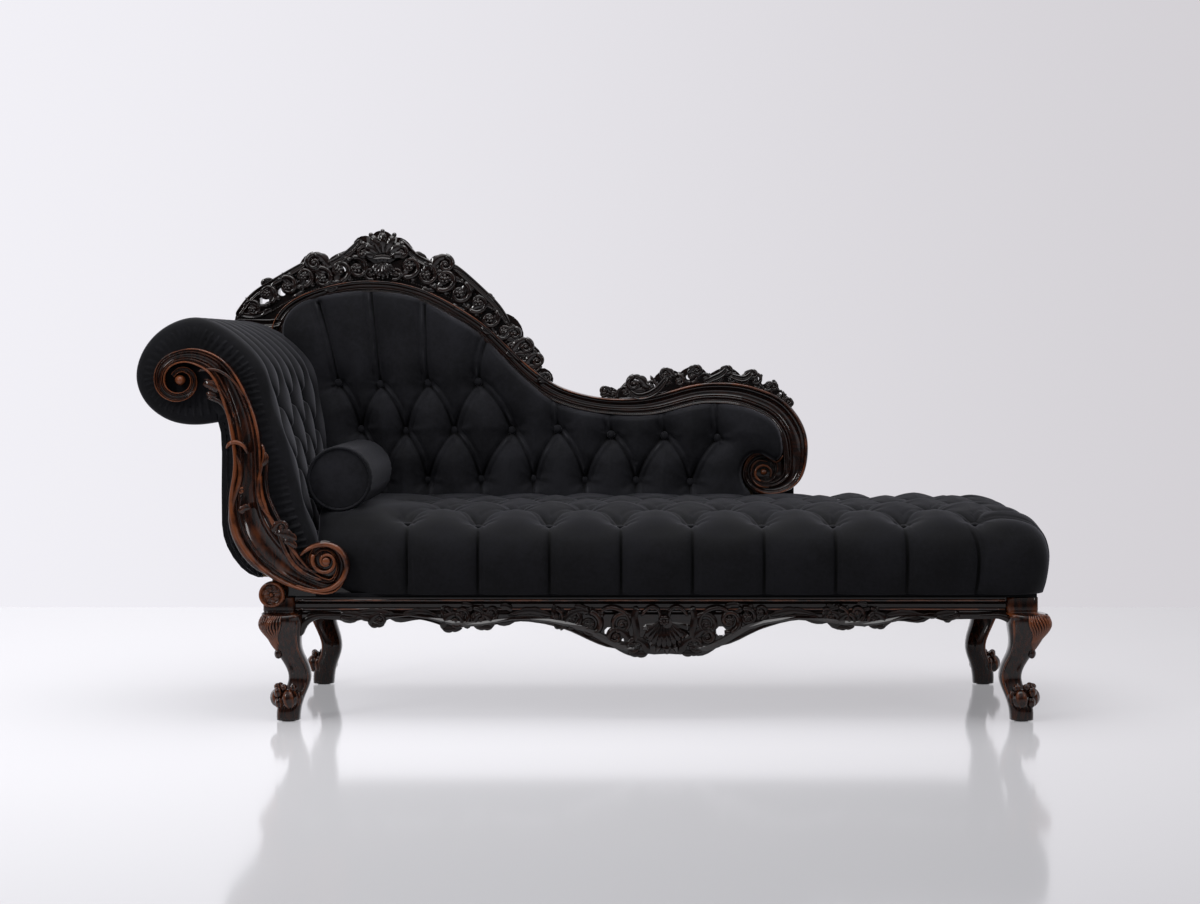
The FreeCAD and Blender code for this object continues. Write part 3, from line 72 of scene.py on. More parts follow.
BACK_RAIL_SHARES = [
    (0.075, 0.586, 0.50), (0.077, 0.640, 0.45), (0.098, 0.706, 0.45), (0.146, 0.758, 0.45),
    (0.200, 0.786, 0.45), (0.244, 0.791, 0.45), (0.290, 0.781, 0.45), (0.339, 0.747, 0.45),
    (0.388, 0.690, 0.46), (0.437, 0.615, 0.48), (0.487, 0.508, 0.52), (0.524, 0.436, 0.58),
    (0.560, 0.386, 0.62), (0.613, 0.349, 0.62), (0.668, 0.334, 0.64), (0.722, 0.338, 0.74),
    (0.763, 0.358, 0.78), (0.802, 0.380, 0.80), (0.840, 0.387, 0.84), (0.880, 0.380, 0.88),
    (0.910, 0.361, 0.92), (0.937, 0.334, 0.95), (0.958, 0.292, 0.97), (0.973, 0.234, 1.00),
    (0.978, 0.170, 0.98),
]
BACK_EYE = (0.923, 0.086)
BACK_VOLUTE_RADIUS = 0.049
BACK_VOLUTE = [
    (1.42, 0.10, 0.82), (1.18, -0.38, 0.66), (0.66, -0.70, 0.52), (0.00, -0.74, 0.42),
    (-0.56, -0.42, 0.37), (-0.70, 0.10, 0.34), (-0.38, 0.60, 0.31), (0.12, 0.66, 0.27),
    (0.50, 0.34, 0.24), (0.48, -0.12, 0.20), (0.16, -0.38, 0.17), (-0.20, -0.30, 0.14),
]
RAIL_BAND = 0.060

ARM_LINE = [
    (0.860, 0.080, 0.00), (0.850, 0.190, 0.00), (0.812, 0.272, 0.00), (0.780, 0.346, 0.10),
    (0.750, 0.443, 0.18), (0.695, 0.581, 0.55), (0.641, 0.696, 0.90), (0.600, 0.813, 1.00),
    (0.541, 0.882, 1.00), (0.470, 0.933, 0.95), (0.386, 0.976, 0.70), (0.282, 1.000, 0.20),
    (0.159, 0.976, 0.00), (0.057, 0.908, 0.00), (0.005, 0.799, 0.00), (0.045, 0.709, 0.00),
    (0.148, 0.644, 0.00), (0.282, 0.626, 0.00), (0.392, 0.637, 0.00),
]

# The arm: planes of its facing's seam and rear, then its cover's front, depth and foot, the turn of its
# edge, its thickness, and the corner beside the back that it stays out of. Up to the diamonds' share along
# its line the flutes swing to and fro, once over each wave's share, and beyond it they run straight.
ARM_SEAM = -0.291
ARM_REAR = -0.2885
ARM_FRONT = -0.300
ARM_DEPTH = 0.596
ARM_FOOT = 0.304
ARM_ROUND = 0.016
ARM_THICKNESS = 0.036
ARM_NOTCH = (-0.757, 0.222)
ARM_DIAMONDS = 0.44
ARM_WAVE = 0.130
ARM_OUTSIDE = [
    (0.392, 0.637), (0.412, 0.520), (0.412, 0.265), (0.437, 0.183), (0.503, 0.108), (0.583, 0.073),
]
ARM_SCROLL = [
    (0.290, 0.866, 0.38), (0.388, 0.832, 0.46), (0.461, 0.750, 0.56), (0.512, 0.645, 0.64),
    (0.536, 0.548, 0.66), (0.541, 0.452, 0.68), (0.538, 0.368, 0.82), (0.556, 0.284, 0.96),
    (0.604, 0.209, 1.00), (0.680, 0.143, 0.92), (0.762, 0.092, 0.70), (0.846, 0.057, 0.48),
]
UPPER_EYE = (0.224, 0.781)
LOWER_EYE = (0.899, 0.137)
SCROLL_BAND = 0.090
SCROLL_RADIUS = 0.050
UPPER_VOLUTE = [
    (0.04, 0.98, 0.31), (-0.50, 0.76, 0.29), (-0.84, 0.24, 0.27), (-0.74, -0.38, 0.25),
    (-0.22, -0.70, 0.22), (0.36, -0.52, 0.19), (0.56, -0.04, 0.16), (0.36, 0.36, 0.14),
    (-0.04, 0.42, 0.12), (-0.32, 0.18, 0.10),
]
LOWER_VOLUTE = [
    (0.30, -1.06, 0.34), (0.66, -0.68, 0.28), (0.72, -0.10, 0.24), (0.42, 0.42, 0.20),
    (-0.10, 0.54, 0.17), (-0.46, 0.22, 0.15), (-0.42, -0.22, 0.13), (-0.06, -0.40, 0.11),
]

BACK_PAD_EDGE = [
    (0.168, 0.003), (0.164, 0.060), (0.158, 0.130), (0.150, 0.260), (0.143, 0.365), (0.126, 0.475),
    (0.102, 0.545), (0.085, 0.600), (0.088, 0.666), (0.111, 0.725), (0.157, 0.759), (0.214, 0.775),
    (0.268, 0.771), (0.319, 0.748), (0.370, 0.692), (0.431, 0.608), (0.484, 0.490), (0.524, 0.410),
    (0.560, 0.355), (0.613, 0.319), (0.668, 0.304), (0.722, 0.304), (0.763, 0.322), (0.806, 0.344),
    (0.850, 0.349), (0.889, 0.336), (0.921, 0.310), (0.945, 0.268), (0.955, 0.210), (0.955, 0.152),
    (0.944, 0.128), (0.928, 0.141), (0.912, 0.155), (0.896, 0.142), (0.886, 0.105), (0.885, 0.065),
    (0.892, 0.030), (0.900, 0.003),
]
BACK_BUTTONS = [
    [(0.183, 0.424), (0.256, 0.420), (0.338, 0.424), (0.426, 0.428)],
    [(0.222, 0.248), (0.300, 0.243), (0.384, 0.245), (0.485, 0.245), (0.564, 0.250), (0.657, 0.228),
     (0.750, 0.224), (0.842, 0.216)],
    [(0.258, 0.058), (0.338, 0.056), (0.431, 0.060), (0.522, 0.062), (0.611, 0.056), (0.700, 0.054),
     (0.794, 0.048)],
]
BACK_BUTTON_PITCH = 0.124

# Planes of the back's fullest places, its seam and its rear.
BACK_CROWN = 0.208
BACK_SEAM = 0.258
BACK_REAR = 0.2615

# Where the creases over the upper buttons end, in the photograph.
BACK_CREASE_TOPS = [(318, 303), (370, 290), (424, 305), (486, 340)]

# The seat: plan, levels, buttons.
SEAT_LEFT = -0.580
SEAT_END = 0.9515
SEAT_SIDE = 0.332
SEAT_BEHIND = 0.500
SEAT_REAR = 0.242
SEAT_FOOT = 0.266
SEAT_TOP = 0.440
SEAT_CORNER = 0.085
SEAT_NEAR_ARM = [
    (-0.580, -0.250), (-0.558, -0.276), (-0.520, -0.293), (-0.475, -0.305), (-0.430, -0.320),
    (-0.390, -0.329), (-0.350, -0.332),
]
SEAT_CROWN = [
    (0.00, 0.14), (0.10, 0.08), (0.20, 0.04), (0.32, 0.01), (0.45, 0.00), (0.56, 0.03), (0.66, 0.09),
    (0.74, 0.18), (0.81, 0.30), (0.87, 0.46), (0.92, 0.68), (0.96, 0.94), (0.985, 1.24), (1.00, 1.60),
]
SEAT_PITCH = 0.148
SEAT_ROW = 0.110
SEAT_FIRST = (-0.392, -0.262)
SEAT_ROWS = 6
SEAT_RELIEF = 0.70
SEAT_RISE_ROWS = 46

# How far a slanting crease is bowed.
CREASE_BOW = 0.0085

# The bolster lies a little in the seat, and is a little fuller than its plain form.
BOLSTER_SINK = 0.006
BOLSTER_SWELL = 0.002

# Cross profiles, closed loops of (across, outwards, how far it is rubbed).
ROUND_PROFILE = [
    (-1.00, -0.30, 0.0), (-1.00, 0.00, 0.0), (-0.88, 0.45, 0.2), (-0.60, 0.82, 0.6), (-0.25, 0.98, 0.9),
    (0.25, 0.98, 0.9), (0.60, 0.82, 0.6), (0.88, 0.45, 0.2), (1.00, 0.00, 0.0), (1.00, -0.30, 0.0),
]
CHANNEL_PROFILE = [
    (-1.00, -0.30, 0.0), (-1.00, 0.40, 0.2), (-0.88, 0.90, 0.9), (-0.66, 0.96, 1.0), (-0.46, 0.62, 0.3),
    (-0.20, 0.42, 0.0), (0.10, 0.42, 0.0), (0.34, 0.60, 0.1), (0.56, 0.92, 0.6), (0.78, 1.00, 1.0),
    (0.94, 0.70, 0.5), (1.00, 0.20, 0.0), (1.00, -0.30, 0.0),
]
LEAF_PROFILE = [
    (-1.00, -0.25, 0.2), (-1.00, 0.12, 0.8), (-0.82, 0.40, 0.6), (-0.64, 0.34, 0.1), (-0.46, 0.72, 0.6),
    (-0.26, 0.60, 0.1), (-0.10, 0.92, 0.8), (0.00, 0.74, 0.2), (0.10, 0.92, 0.8), (0.26, 0.60, 0.1),
    (0.46, 0.72, 0.6), (0.64, 0.34, 0.1), (0.82, 0.40, 0.6), (1.00, 0.12, 0.8), (1.00, -0.25, 0.2),
]
STRAND_PROFILE = [
    (-1.00, -2.20, 0.0), (-1.00, 0.00, 0.2), (-0.88, 0.45, 0.5), (-0.60, 0.82, 0.8), (-0.25, 0.98, 1.0),
    (0.25, 0.98, 1.0), (0.60, 0.82, 0.8), (0.88, 0.45, 0.5), (1.00, 0.00, 0.2), (1.00, -2.20, 0.0),
]
RAIL_PROFILE = [
    (-1.00, -3.20, 0.0), (-1.00, 0.20, 0.0), (-0.97, 0.66, 0.3), (-0.91, 0.92, 0.9), (-0.83, 1.00, 1.0),
    (-0.75, 0.92, 0.9), (-0.69, 0.66, 0.3), (-0.64, 0.46, 0.0), (-0.56, 0.52, 0.1), (-0.49, 0.44, 0.0),
    (-0.40, 0.26, 0.0), (-0.16, 0.14, 0.0), (0.08, 0.16, 0.0), (0.24, 0.28, 0.0), (0.32, 0.50, 0.1),
    (0.38, 0.58, 0.2), (0.45, 0.50, 0.0), (0.50, 0.36, 0.0), (0.80, 0.34, 0.0), (0.84, 0.50, 0.1),
    (0.90, 0.60, 0.3), (0.97, 0.48, 0.1), (1.00, 0.16, 0.0), (1.00, -3.20, 0.0),
]
SCROLL_PROFILE = [
    (-1.00, -0.90, 0.0), (-1.00, 0.30, 0.1), (-0.96, 0.62, 0.8), (-0.88, 0.74, 1.0), (-0.80, 0.62, 0.6),
    (-0.76, 0.36, 0.0), (-0.70, 0.34, 0.0), (-0.64, 0.52, 0.4), (-0.56, 0.58, 0.5), (-0.48, 0.46, 0.1),
    (-0.42, 0.24, 0.0), (-0.20, 0.10, 0.0), (0.08, 0.12, 0.1), (0.26, 0.26, 0.2), (0.36, 0.50, 0.4),
    (0.44, 0.58, 0.5), (0.52, 0.46, 0.2), (0.58, 0.34, 0.0), (0.66, 0.50, 0.2), (0.76, 0.86, 0.8),
    (0.86, 1.00, 1.0), (0.94, 0.88, 0.9), (1.00, 0.40, 0.2), (1.00, -0.90, 0.0),
]

FRONT = np.array([0.0, -1.0, 0.0])


def unit(vectors):
    """Each vector over its own length."""
    return vectors / np.maximum(np.linalg.norm(vectors, axis=-1, keepdims=True), 1e-12)


def smooth(share):
    """A share that leaves nought and reaches one gently."""
    share = np.clip(share, 0, 1)
    return share * share * (3 - 2 * share)


def quarter(share):
    """The rise of a quarter circle: zero at nought, and one from one on."""
    return np.sqrt(1 - (1 - np.clip(share, 0, 1)) ** 2)


def hill(value, middle, width):
    """A bell over a value: one at the middle, falling off over the width."""
    return np.exp(-((value - middle) / width) ** 2)


def run_along(points):
    """How far along a line each of its points is."""
    return np.concatenate([[0.0], np.cumsum(np.linalg.norm(np.diff(points, axis=0), axis=1))])


def upright(flat, y):
    """Flat points of (x, z) in space, at one y or at one for each."""
    return np.stack([flat[:, 0], np.broadcast_to(y, len(flat)), flat[:, 1]], 1)


def shares(span, table):
    """Share points of a span to metres: the left end plus the share of the length, the foot plus that of the
    rise."""
    table = np.array(table, float)
    left, length, foot, rise = span
    table[:, 0] = left + table[:, 0] * length
    table[:, 1] = foot + table[:, 1] * rise
    return table


def seen(table, y):
    """Photograph points to x and z on the plane y: the offset from the camera's axis over the focal length,
    times the distance. A width or radius in the third place is scaled alike."""
    table = np.array(table, float)
    reach = (y - CAMERA_PLACE[1]) / FOCAL_PIXELS
    table[:, 0] = CAMERA_PLACE[0] + (table[:, 0] - AXIS_PIXELS[0]) * reach
    table[:, 1] = CAMERA_PLACE[2] + (AXIS_PIXELS[1] - table[:, 1]) * reach
    table[:, 2:3] *= reach
    return table


def spline(points, spacing=0.004, count=0):
    """A natural cubic spline through points, its knots apart by the square root of each chord, read at even
    distances."""
    points = np.asarray(points, float)
    size = len(points)
    chords = np.linalg.norm(np.diff(points[:, :2], axis=0), axis=1)
    knots = np.concatenate([[0.0], np.cumsum(np.sqrt(np.maximum(chords, 1e-9)))])
    steps = np.diff(knots)
    matrix = np.eye(size)
    bends = np.zeros_like(points)
    row = np.arange(1, size - 1)
    matrix[row, row - 1] = steps[:-1] / 6
    matrix[row, row] = (steps[:-1] + steps[1:]) / 3
    matrix[row, row + 1] = steps[1:] / 6
    slopes = np.diff(points, axis=0) / steps[:, None]
    bends[row] = slopes[1:] - slopes[:-1]
    second = np.linalg.solve(matrix, bends)
    at = np.linspace(0, knots[-1], 40 * size)
    cell = np.clip(np.searchsorted(knots, at, side="right") - 1, 0, size - 2)
    step = steps[cell][:, None]
    before = (knots[cell + 1] - at)[:, None] / step
    after = 1 - before
    fine = before * points[cell] + after * points[cell + 1]
    fine += ((before ** 3 - before) * second[cell] + (after ** 3 - after) * second[cell + 1]) * step ** 2 / 6
    travel = run_along(fine[:, :2])
    count = count or max(5, int(round(travel[-1] / spacing)) + 1)
    places = np.linspace(0, travel[-1], count)
    return np.stack([np.interp(places, travel, column) for column in fine.T], 1)


def grid_faces(rows, columns, wrap_rows=False, wrap_columns=False):
    """Quadrilaterals of a grid whose points are numbered row by row."""
    row, column = np.meshgrid(
        np.arange(rows if wrap_rows else rows - 1), np.arange(columns if wrap_columns else columns - 1),
        indexing="ij",
    )
    next_row, next_column = (row + 1) % rows, (column + 1) % columns
    corners = [row * columns + column, row * columns + next_column, next_row * columns + next_column,
               next_row * columns + column]
    return np.stack(corners, -1).reshape(-1, 4)


def volume(points, faces):
    """Six times the signed volume inside closed faces, by the triangles that each face fans into."""
    total = 0.0
    for group in faces:
        for corner in range(1, group.shape[1] - 1):
            a, b, c = points[group[:, 0]], points[group[:, corner]], points[group[:, corner + 1]]
            total += float(np.einsum("ij,ij->i", a, np.cross(b, c)).sum())
    return total


class Piece:
    """Collects closed shapes with their values of rubbed wear on wood and of painted shade and highlight on
    velvet, and makes one mesh of them.
    """

    def __init__(self):
        self.points, self.faces, self.rubs, self.size = [], [], [], 0

    def add(self, points, faces, rub=None):
        """Takes in one closed shape, turned so that its faces point outwards."""
        centred = points - points.mean(0)
        if volume(centred, faces) < 0:
            faces = [group[:, ::-1] for group in faces]
        self.faces += [group + self.size for group in faces]
        self.points.append(points)
        self.rubs.append(np.zeros(len(points)) if rub is None else np.broadcast_to(rub, len(points)))
        self.size += len(points)

    def add_rings(self, grid, first, last, rub=None):
        """Takes in a shape whose rings are the grid's rows, closed by a fan to a point at each end."""
        rows, columns = grid.shape[:2]
        ring = np.arange(columns)
        after = (ring + 1) % columns
        base = (rows - 1) * columns
        fans = np.concatenate([
            np.stack([np.full(columns, rows * columns), after, ring], 1),
            np.stack([np.full(columns, rows * columns + 1), base + ring, base + after], 1),
        ])
        points = np.concatenate([grid.reshape(-1, 3), [first], [last]])
        self.add(points, [grid_faces(rows, columns, wrap_columns=True), fans], rub)

    def make(self, name, material, body, replaced=()):
        """One smooth mesh of all that was taken in, with its place among the bodies and the nodes it stands
        for."""
        mesh = bpy.data.meshes.new(name)
        faces = [tuple(face) for group in self.faces for face in group.tolist()]
        mesh.from_pydata(np.concatenate(self.points).tolist(), [], faces)
        # The attribute holds rubbed wear on wood and painted shade and highlight on velvet.
        rub = mesh.attributes.new("rub", "FLOAT", "POINT")
        rub.data.foreach_set("value", np.concatenate(self.rubs).astype(np.float32))
        mesh.polygons.foreach_set("use_smooth", np.ones(len(mesh.polygons), bool))
        mesh.materials.append(material)
        mesh.validate()
        made = bpy.data.objects.new(name, mesh)
        bpy.context.scene.collection.objects.link(made)
        if replaced:
            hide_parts(*replaced)
        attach(made, body)
        return made


def sweep(piece, path, across, out, profile, widths, heights, rub=1.0):
    """Carries a closed profile along a path: each point is the path's, plus its across value times the width,
    plus its outward value times the height."""
    profile = np.asarray(profile, float)
    grid = path[:, None, :] + across[:, None, :] * (profile[None, :, :1] * widths[:, None, None])
    grid = grid + out[:, None, :] * (profile[None, :, 1:2] * heights[:, None, None])
    worn = np.concatenate([np.tile(profile[:, 2], len(path)), [0.0, 0.0]]) * rub
    piece.add_rings(grid, grid[0].mean(0), grid[-1].mean(0), worn)


def relief(piece, line, y, profile, widths, heights, rub=1.0):
    """Carries a profile along a line of (x, z) on the plane y, standing out to the front, and gives the
    line's points and the ways across it."""
    path = upright(line, y)
    across = np.cross(unit(np.gradient(path, axis=0)), FRONT)
    sweep(piece, path, across, np.tile(FRONT, (len(line), 1)), profile, widths, heights, rub)
    return path, across


def ribbon(piece, line, y, profile=ROUND_PROFILE, lift=1.0, spacing=0.004, rub=1.0, tail=0.0):
    """A raised strap along (x, z, width) on the plane y. It stands out by lift times half its width, and is
    rounded off over the tail's share at each end."""
    line = spline(line, spacing)
    widths = np.abs(line[:, 2]) / 2
    if tail:
        share = np.linspace(0, 1, len(line))
        widths = widths * quarter(np.maximum(np.minimum(share, 1 - share) / tail, 0.02))
    relief(piece, line, y, profile, widths, widths * lift, rub)


def leaf(piece, line, y, width, lobes=3, lift=0.9, rub=1.0, sharp=0.8):
    """A carved leaf along (x, z): its half width is a sine arch, notched by lobes that lean to the tip."""
    line = spline(line, 0.003)
    share = np.linspace(0, 1, len(line))
    arch = np.sin(np.pi * share ** sharp) ** 0.55
    notched = 0.70 + 0.30 * np.sin(np.pi * (share * lobes % 1.0)) ** 0.6
    widths = width / 2 * np.maximum(arch * notched, 0.03)
    relief(piece, line, y, LEAF_PROFILE, widths, width / 2 * lift * np.maximum(arch, 0.05), rub)


def curl(piece, x, z, y, radius, start, turns, width, lift=1.0, rub=1.0, inner=0.22, profile=ROUND_PROFILE):
    """A strap wound into a spiral: the radius falls evenly in its logarithm while the angle turns. A dome
    fills the eye."""
    share = np.linspace(0, 1, max(12, int(abs(turns) * 26)))
    angle = start + 2 * np.pi * turns * share
    reach = radius * inner ** share
    widths = width / 2 * (1 - 0.55 * share)
    line = np.stack([x + reach * np.cos(angle), z + reach * np.sin(angle)], 1)
    relief(piece, line, y, profile, widths, widths * lift, rub)
    dome(piece, x, z, y, radius * inner * 1.25, widths[-1] * lift * 2.0, rub)


def dome(piece, x, z, y, radius, height, rub=1.0, around=12, up=4):
    """A closed cap: rings of cosine radius and sine height over a disc, sunk a little into what carries
    it."""
    angle = np.linspace(0, 2 * np.pi, around, endpoint=False)
    rise = np.linspace(0, np.pi / 2, up + 1)[:-1]
    reach = np.concatenate([[radius], radius * np.cos(rise)])[:, None]
    sunk = 0.3 * height
    out = np.concatenate([[-sunk], height * np.sin(rise)])
    grid = np.stack([
        x + reach * np.cos(angle), np.broadcast_to(y - out[:, None], (up + 1, around)),
        z + reach * np.sin(angle),
    ], -1)
    worn = np.concatenate([np.repeat(np.clip(out / max(height, 1e-6), 0, 1), around), [0.0, 1.0]]) * rub
    piece.add_rings(grid, [x, y + sunk, z], [x, y - height, z], worn)


def nearest_segment(points, starts, ends, bow=0.0):
    """Distance, share along and side of the nearest of some segments, for each flat point. Slanting segments
    may be bowed: pushed up by a sine arch of the share along."""
    along = ends - starts
    size = np.maximum((along ** 2).sum(1), 1e-12)
    best = np.full(len(points), 1e9)
    place = np.zeros(len(points))
    side = np.zeros(len(points))
    for start, way, square in zip(starts, along, size):
        offset = points - start
        share = np.clip(offset @ way / square, 0, 1)
        apart = offset - share[:, None] * way
        rising = np.array([-way[1], way[0]]) / math.sqrt(square) * np.sign(way[0])
        apart = apart - (bow * min(1.0, 2 * abs(rising[1])) * np.sin(np.pi * share))[:, None] * rising
        distance = np.linalg.norm(apart, axis=1)
        closer = distance < best
        best = np.where(closer, distance, best)
        place = np.where(closer, share, place)
        side = np.where(closer, np.sign(way[0] * apart[:, 1] - way[1] * apart[:, 0]), side)
    return best, place, side


def drawn_in(points, buttons, starts, ends, pit, pit_reach, crease, crease_reach, crown, crown_reach):
    """How far a tufted cover stands from its plain face, below zero inwards, and its painted light there: a
    pillow that rises with the distance from the nearest crease, less a valley along each crease with one
    steep side and a second fold beside it, and less a pit at each button with small puckers round it. The
    painted light is a highlight on the lip beside each steep side, shade in each crease and round each
    button, and the puckers painted lighter and darker."""
    to_button = np.full(len(points), 1e9)
    angle = np.zeros(len(points))
    for button in buttons:
        offset = points - button
        distance = np.linalg.norm(offset, axis=1)
        closer = distance < to_button
        to_button = np.where(closer, distance, to_button)
        angle = np.where(closer, np.arctan2(offset[:, 1], offset[:, 0]), angle)
    to_crease, place, side = nearest_segment(points, starts, ends, CREASE_BOW)
    steep = side > 0
    pillow = crown * (1 - hill(np.minimum(to_crease, to_button), 0.0, crown_reach))
    deeper = 0.45 + 0.55 * np.abs(2 * place - 1) ** 1.5
    valley = np.exp(-np.sqrt(to_crease ** 2 + 4e-7) / np.where(steep, crease_reach, crease_reach * 0.55))
    beside = steep * (0.34 * hill(to_crease, 0.0140, 0.0032) - 0.14 * hill(to_crease, 0.0080, 0.0030))
    well = pit * np.exp(-(to_button / pit_reach) ** 1.3)
    deepest = 1.15 * pit
    drawn = deepest * np.tanh((deeper * crease * (valley + beside) + well) / deepest)
    spokes = np.sin(5 * angle + 1.3 * np.sin(3 * angle) + 20 * to_button)
    pucker = 0.0012 * spokes * hill(to_button, 0.026, 0.014)
    broken = 0.6 + 0.9 * soft_waves(np.column_stack([points, points[:, :1]]), 0.055, 3)
    # Painted light: a highlight on the lip beside each crease's steep side, painted shade in each crease and
    # round each button, and the puckers painted lighter and darker.
    painted_lip_highlight = broken * deeper * np.where(steep, hill(to_crease, 0.0062, 0.0028), 0)
    painted_fold_shade = 1.3 * deeper * hill(to_crease, 0.0, 0.0026) + 1.2 * hill(to_button, 0.0, 0.0115)
    return pillow - drawn + pucker, 0.85 * painted_lip_highlight + 260 * pucker - painted_fold_shade


def soft_waves(points, size, seed):
    """Gentle unevenness of stuffing: a sum of six sines in fixed directions and phases."""
    draws = np.random.default_rng(seed)
    total = np.zeros(len(points))
    for _ in range(6):
        way = unit(draws.normal(size=3))
        length = size * draws.uniform(0.6, 1.6)
        total += np.sin(points @ way * 2 * np.pi / length + draws.uniform(0, 2 * np.pi)) / 6
    return total


def seat_button_places():
    """Buttons of the seat: rows a row pitch apart, every other one half a pitch over, left out where the back
    stands."""
    rows = []
    for row in range(SEAT_ROWS):
        y = SEAT_FIRST[1] + row * SEAT_ROW
        start = SEAT_FIRST[0] + (row % 2) * SEAT_PITCH / 2
        count = int((SEAT_END - SEAT_PITCH / 3 - start) / SEAT_PITCH) + 1
        xs = start + SEAT_PITCH * np.arange(count)
        if y > SEAT_REAR - 0.044:
            xs = xs[xs > SEAT_BEHIND + 0.044]
        rows.append(np.stack([xs, np.full(len(xs), y)], 1))
    return rows


def seat_shallow(x, y):
    """How much of their full depth the seat's tufts have at a place: less in the last row before the back."""
    return 1 - 0.45 * np.clip((y - 0.125) / 0.040, 0, 1) * np.clip((SEAT_BEHIND + 0.02 - x) / 0.06, 0, 1)


def seat_fall(x, y):
    """How far the seat's top falls towards the front, clear of the bolster."""
    return 0.0105 * smooth((-0.10 - y) / 0.17) * np.clip((x + 0.42) / 0.12, 0, 1)


def creases_between(rows, reach):
    """Lines from each button to those of the next row that are within reach sideways."""
    starts, ends = [], []
    for upper, lower in zip(rows, rows[1:]):
        apart = np.abs(upper[:, None, 0] - lower[None, :, 0])
        first, second = np.nonzero(apart < reach)
        starts.append(upper[first])
        ends.append(lower[second])
    return np.concatenate(starts), np.concatenate(ends)


def seat_outline(spacing):
    """The seat's plan from the arm along the front, round the foot end and back along the rear, at even
    distances. The rear steps in on a short slant where the back begins."""
    r = SEAT_CORNER
    turn = np.linspace(0, np.pi / 2, 13)
    front = np.stack([SEAT_END - r + r * np.sin(turn), -SEAT_SIDE + r - r * np.cos(turn)], 1)
    rear = np.stack([SEAT_END - r + r * np.cos(turn), SEAT_SIDE - r + r * np.sin(turn)], 1)
    step = np.linspace(0, np.pi, 9)
    slant = np.stack([
        SEAT_BEHIND + 0.004 + 0.050 * (1 + np.cos(step)) / 2,
        SEAT_REAR + (SEAT_SIDE - SEAT_REAR) * (1 + np.cos(step)) / 2,
    ], 1)
    near_arm = spline(np.array(SEAT_NEAR_ARM), 0.01)
    corners = np.concatenate([near_arm, front, rear, slant, [[SEAT_LEFT, SEAT_REAR]]])
    travel = run_along(corners)
    places = np.linspace(0, travel[-1], int(travel[-1] / spacing))
    return np.stack([np.interp(places, travel, column) for column in corners.T], 1), places


def surface_normals(grid):
    """Unit normals of a grid of points, from the two directions along it."""
    return unit(np.cross(np.gradient(grid, axis=0), np.gradient(grid, axis=1)))


def seat_grid():
    """The seat's plain form: each point of the plan's outline rises along the crown's profile, which draws in
    towards a spine along the middle, and runs on over the top to that spine. Given are the grid, its shares
    of the height, the spine, the outline and the outline's run."""
    outline, travel = seat_outline(0.0037)
    spine = np.stack([np.minimum(outline[:, 0], SEAT_END - SEAT_SIDE), np.zeros(len(outline))], 1)
    profile = spline(np.array(SEAT_CROWN), count=SEAT_RISE_ROWS)
    tucked = np.clip((SEAT_BEHIND + 0.05 - outline[:, 0]) / 0.05, 0, 1) * (outline[:, 1] > 0)
    shoulder = 0.1 - 0.085 * tucked
    inwards = unit(spine - outline)[:, None]
    side = outline[:, None] + inwards * (profile[None, :, 1:] * shoulder[:, None, None])
    top = side[:, -1:] + (spine[:, None] - side[:, -1:]) * np.linspace(0, 1, 80)[None, 1:, None]
    rise = np.concatenate([np.broadcast_to(profile[:, 0], side.shape[:2]), np.ones(top.shape[:2])], 1)
    heights = (SEAT_FOOT + rise * (SEAT_TOP - SEAT_FOOT))[:, :, None]
    return np.concatenate([np.concatenate([side, top], 1), heights], 2), rise, spine, outline, travel


def seat_pleats(outline, travel, rows, last, look):
    """Upright pleats of the sides, below each button of the front row and of the foot end: how far they stand
    out along the outline's run, and their painted light: a painted highlight beside each pleat and painted
    shade in it."""
    at_end = np.argmax(outline[:, 0] > SEAT_END - 0.001)
    start_run = travel[np.argmax(outline[:, 0] > SEAT_FIRST[0])] - SEAT_FIRST[0]
    pleats = np.concatenate([rows[0][:, 0] + start_run, travel[at_end] + last[:, 1] - outline[at_end, 1]])
    offset = travel[:, None] - pleats[None, :]
    apart = np.min(np.abs(offset), axis=1)
    lean = np.min(np.abs(offset - 0.010), axis=1)
    stands = look.pillow * 0.5 * (1 - hill(apart, 0.0, 0.034)) - 0.016 * np.exp(-apart / 0.0045)
    stands = stands - 0.005 * hill(lean, 0.0, 0.0035)
    # Painted highlight beside each pleat, painted shade in it.
    return stands, 0.28 * hill(lean, -0.003, 0.003) - 1.3 * hill(apart, 0.0, 0.0032)


def press_under_bolster(grid):
    """Lowers the seat's points under the bolster until they clear its round."""
    low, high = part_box("bolster")
    radius = (high[2] - low[2]) / 2 + BOLSTER_SWELL + 0.0015
    beside = grid[:, :, 0] - (low[0] + high[0]) / 2
    hollow = (low[2] + high[2]) / 2 - BOLSTER_SINK - np.sqrt(np.clip(radius ** 2 - beside ** 2, 0, None))
    along = grid[:, :, 1]
    under_it = (np.abs(beside) < radius) & (along > low[1] - 0.004) & (along < high[1] + 0.004)
    grid[:, :, 2] = np.where(under_it, np.minimum(grid[:, :, 2], hollow), grid[:, :, 2])


def meet_on_spine(grid, outline):
    """Gives the rear rows' first and last points the places of the nearest ones of the front rows."""
    front, rear = np.nonzero(outline[:, 1] < 0)[0], np.nonzero(outline[:, 1] >= 0)[0]
    for edge in (0, -1):
        apart = np.abs(grid[rear, edge, 0][:, None] - grid[front, edge, 0][None, :])
        grid[rear, edge] = grid[front[np.argmin(apart, axis=1)], edge]


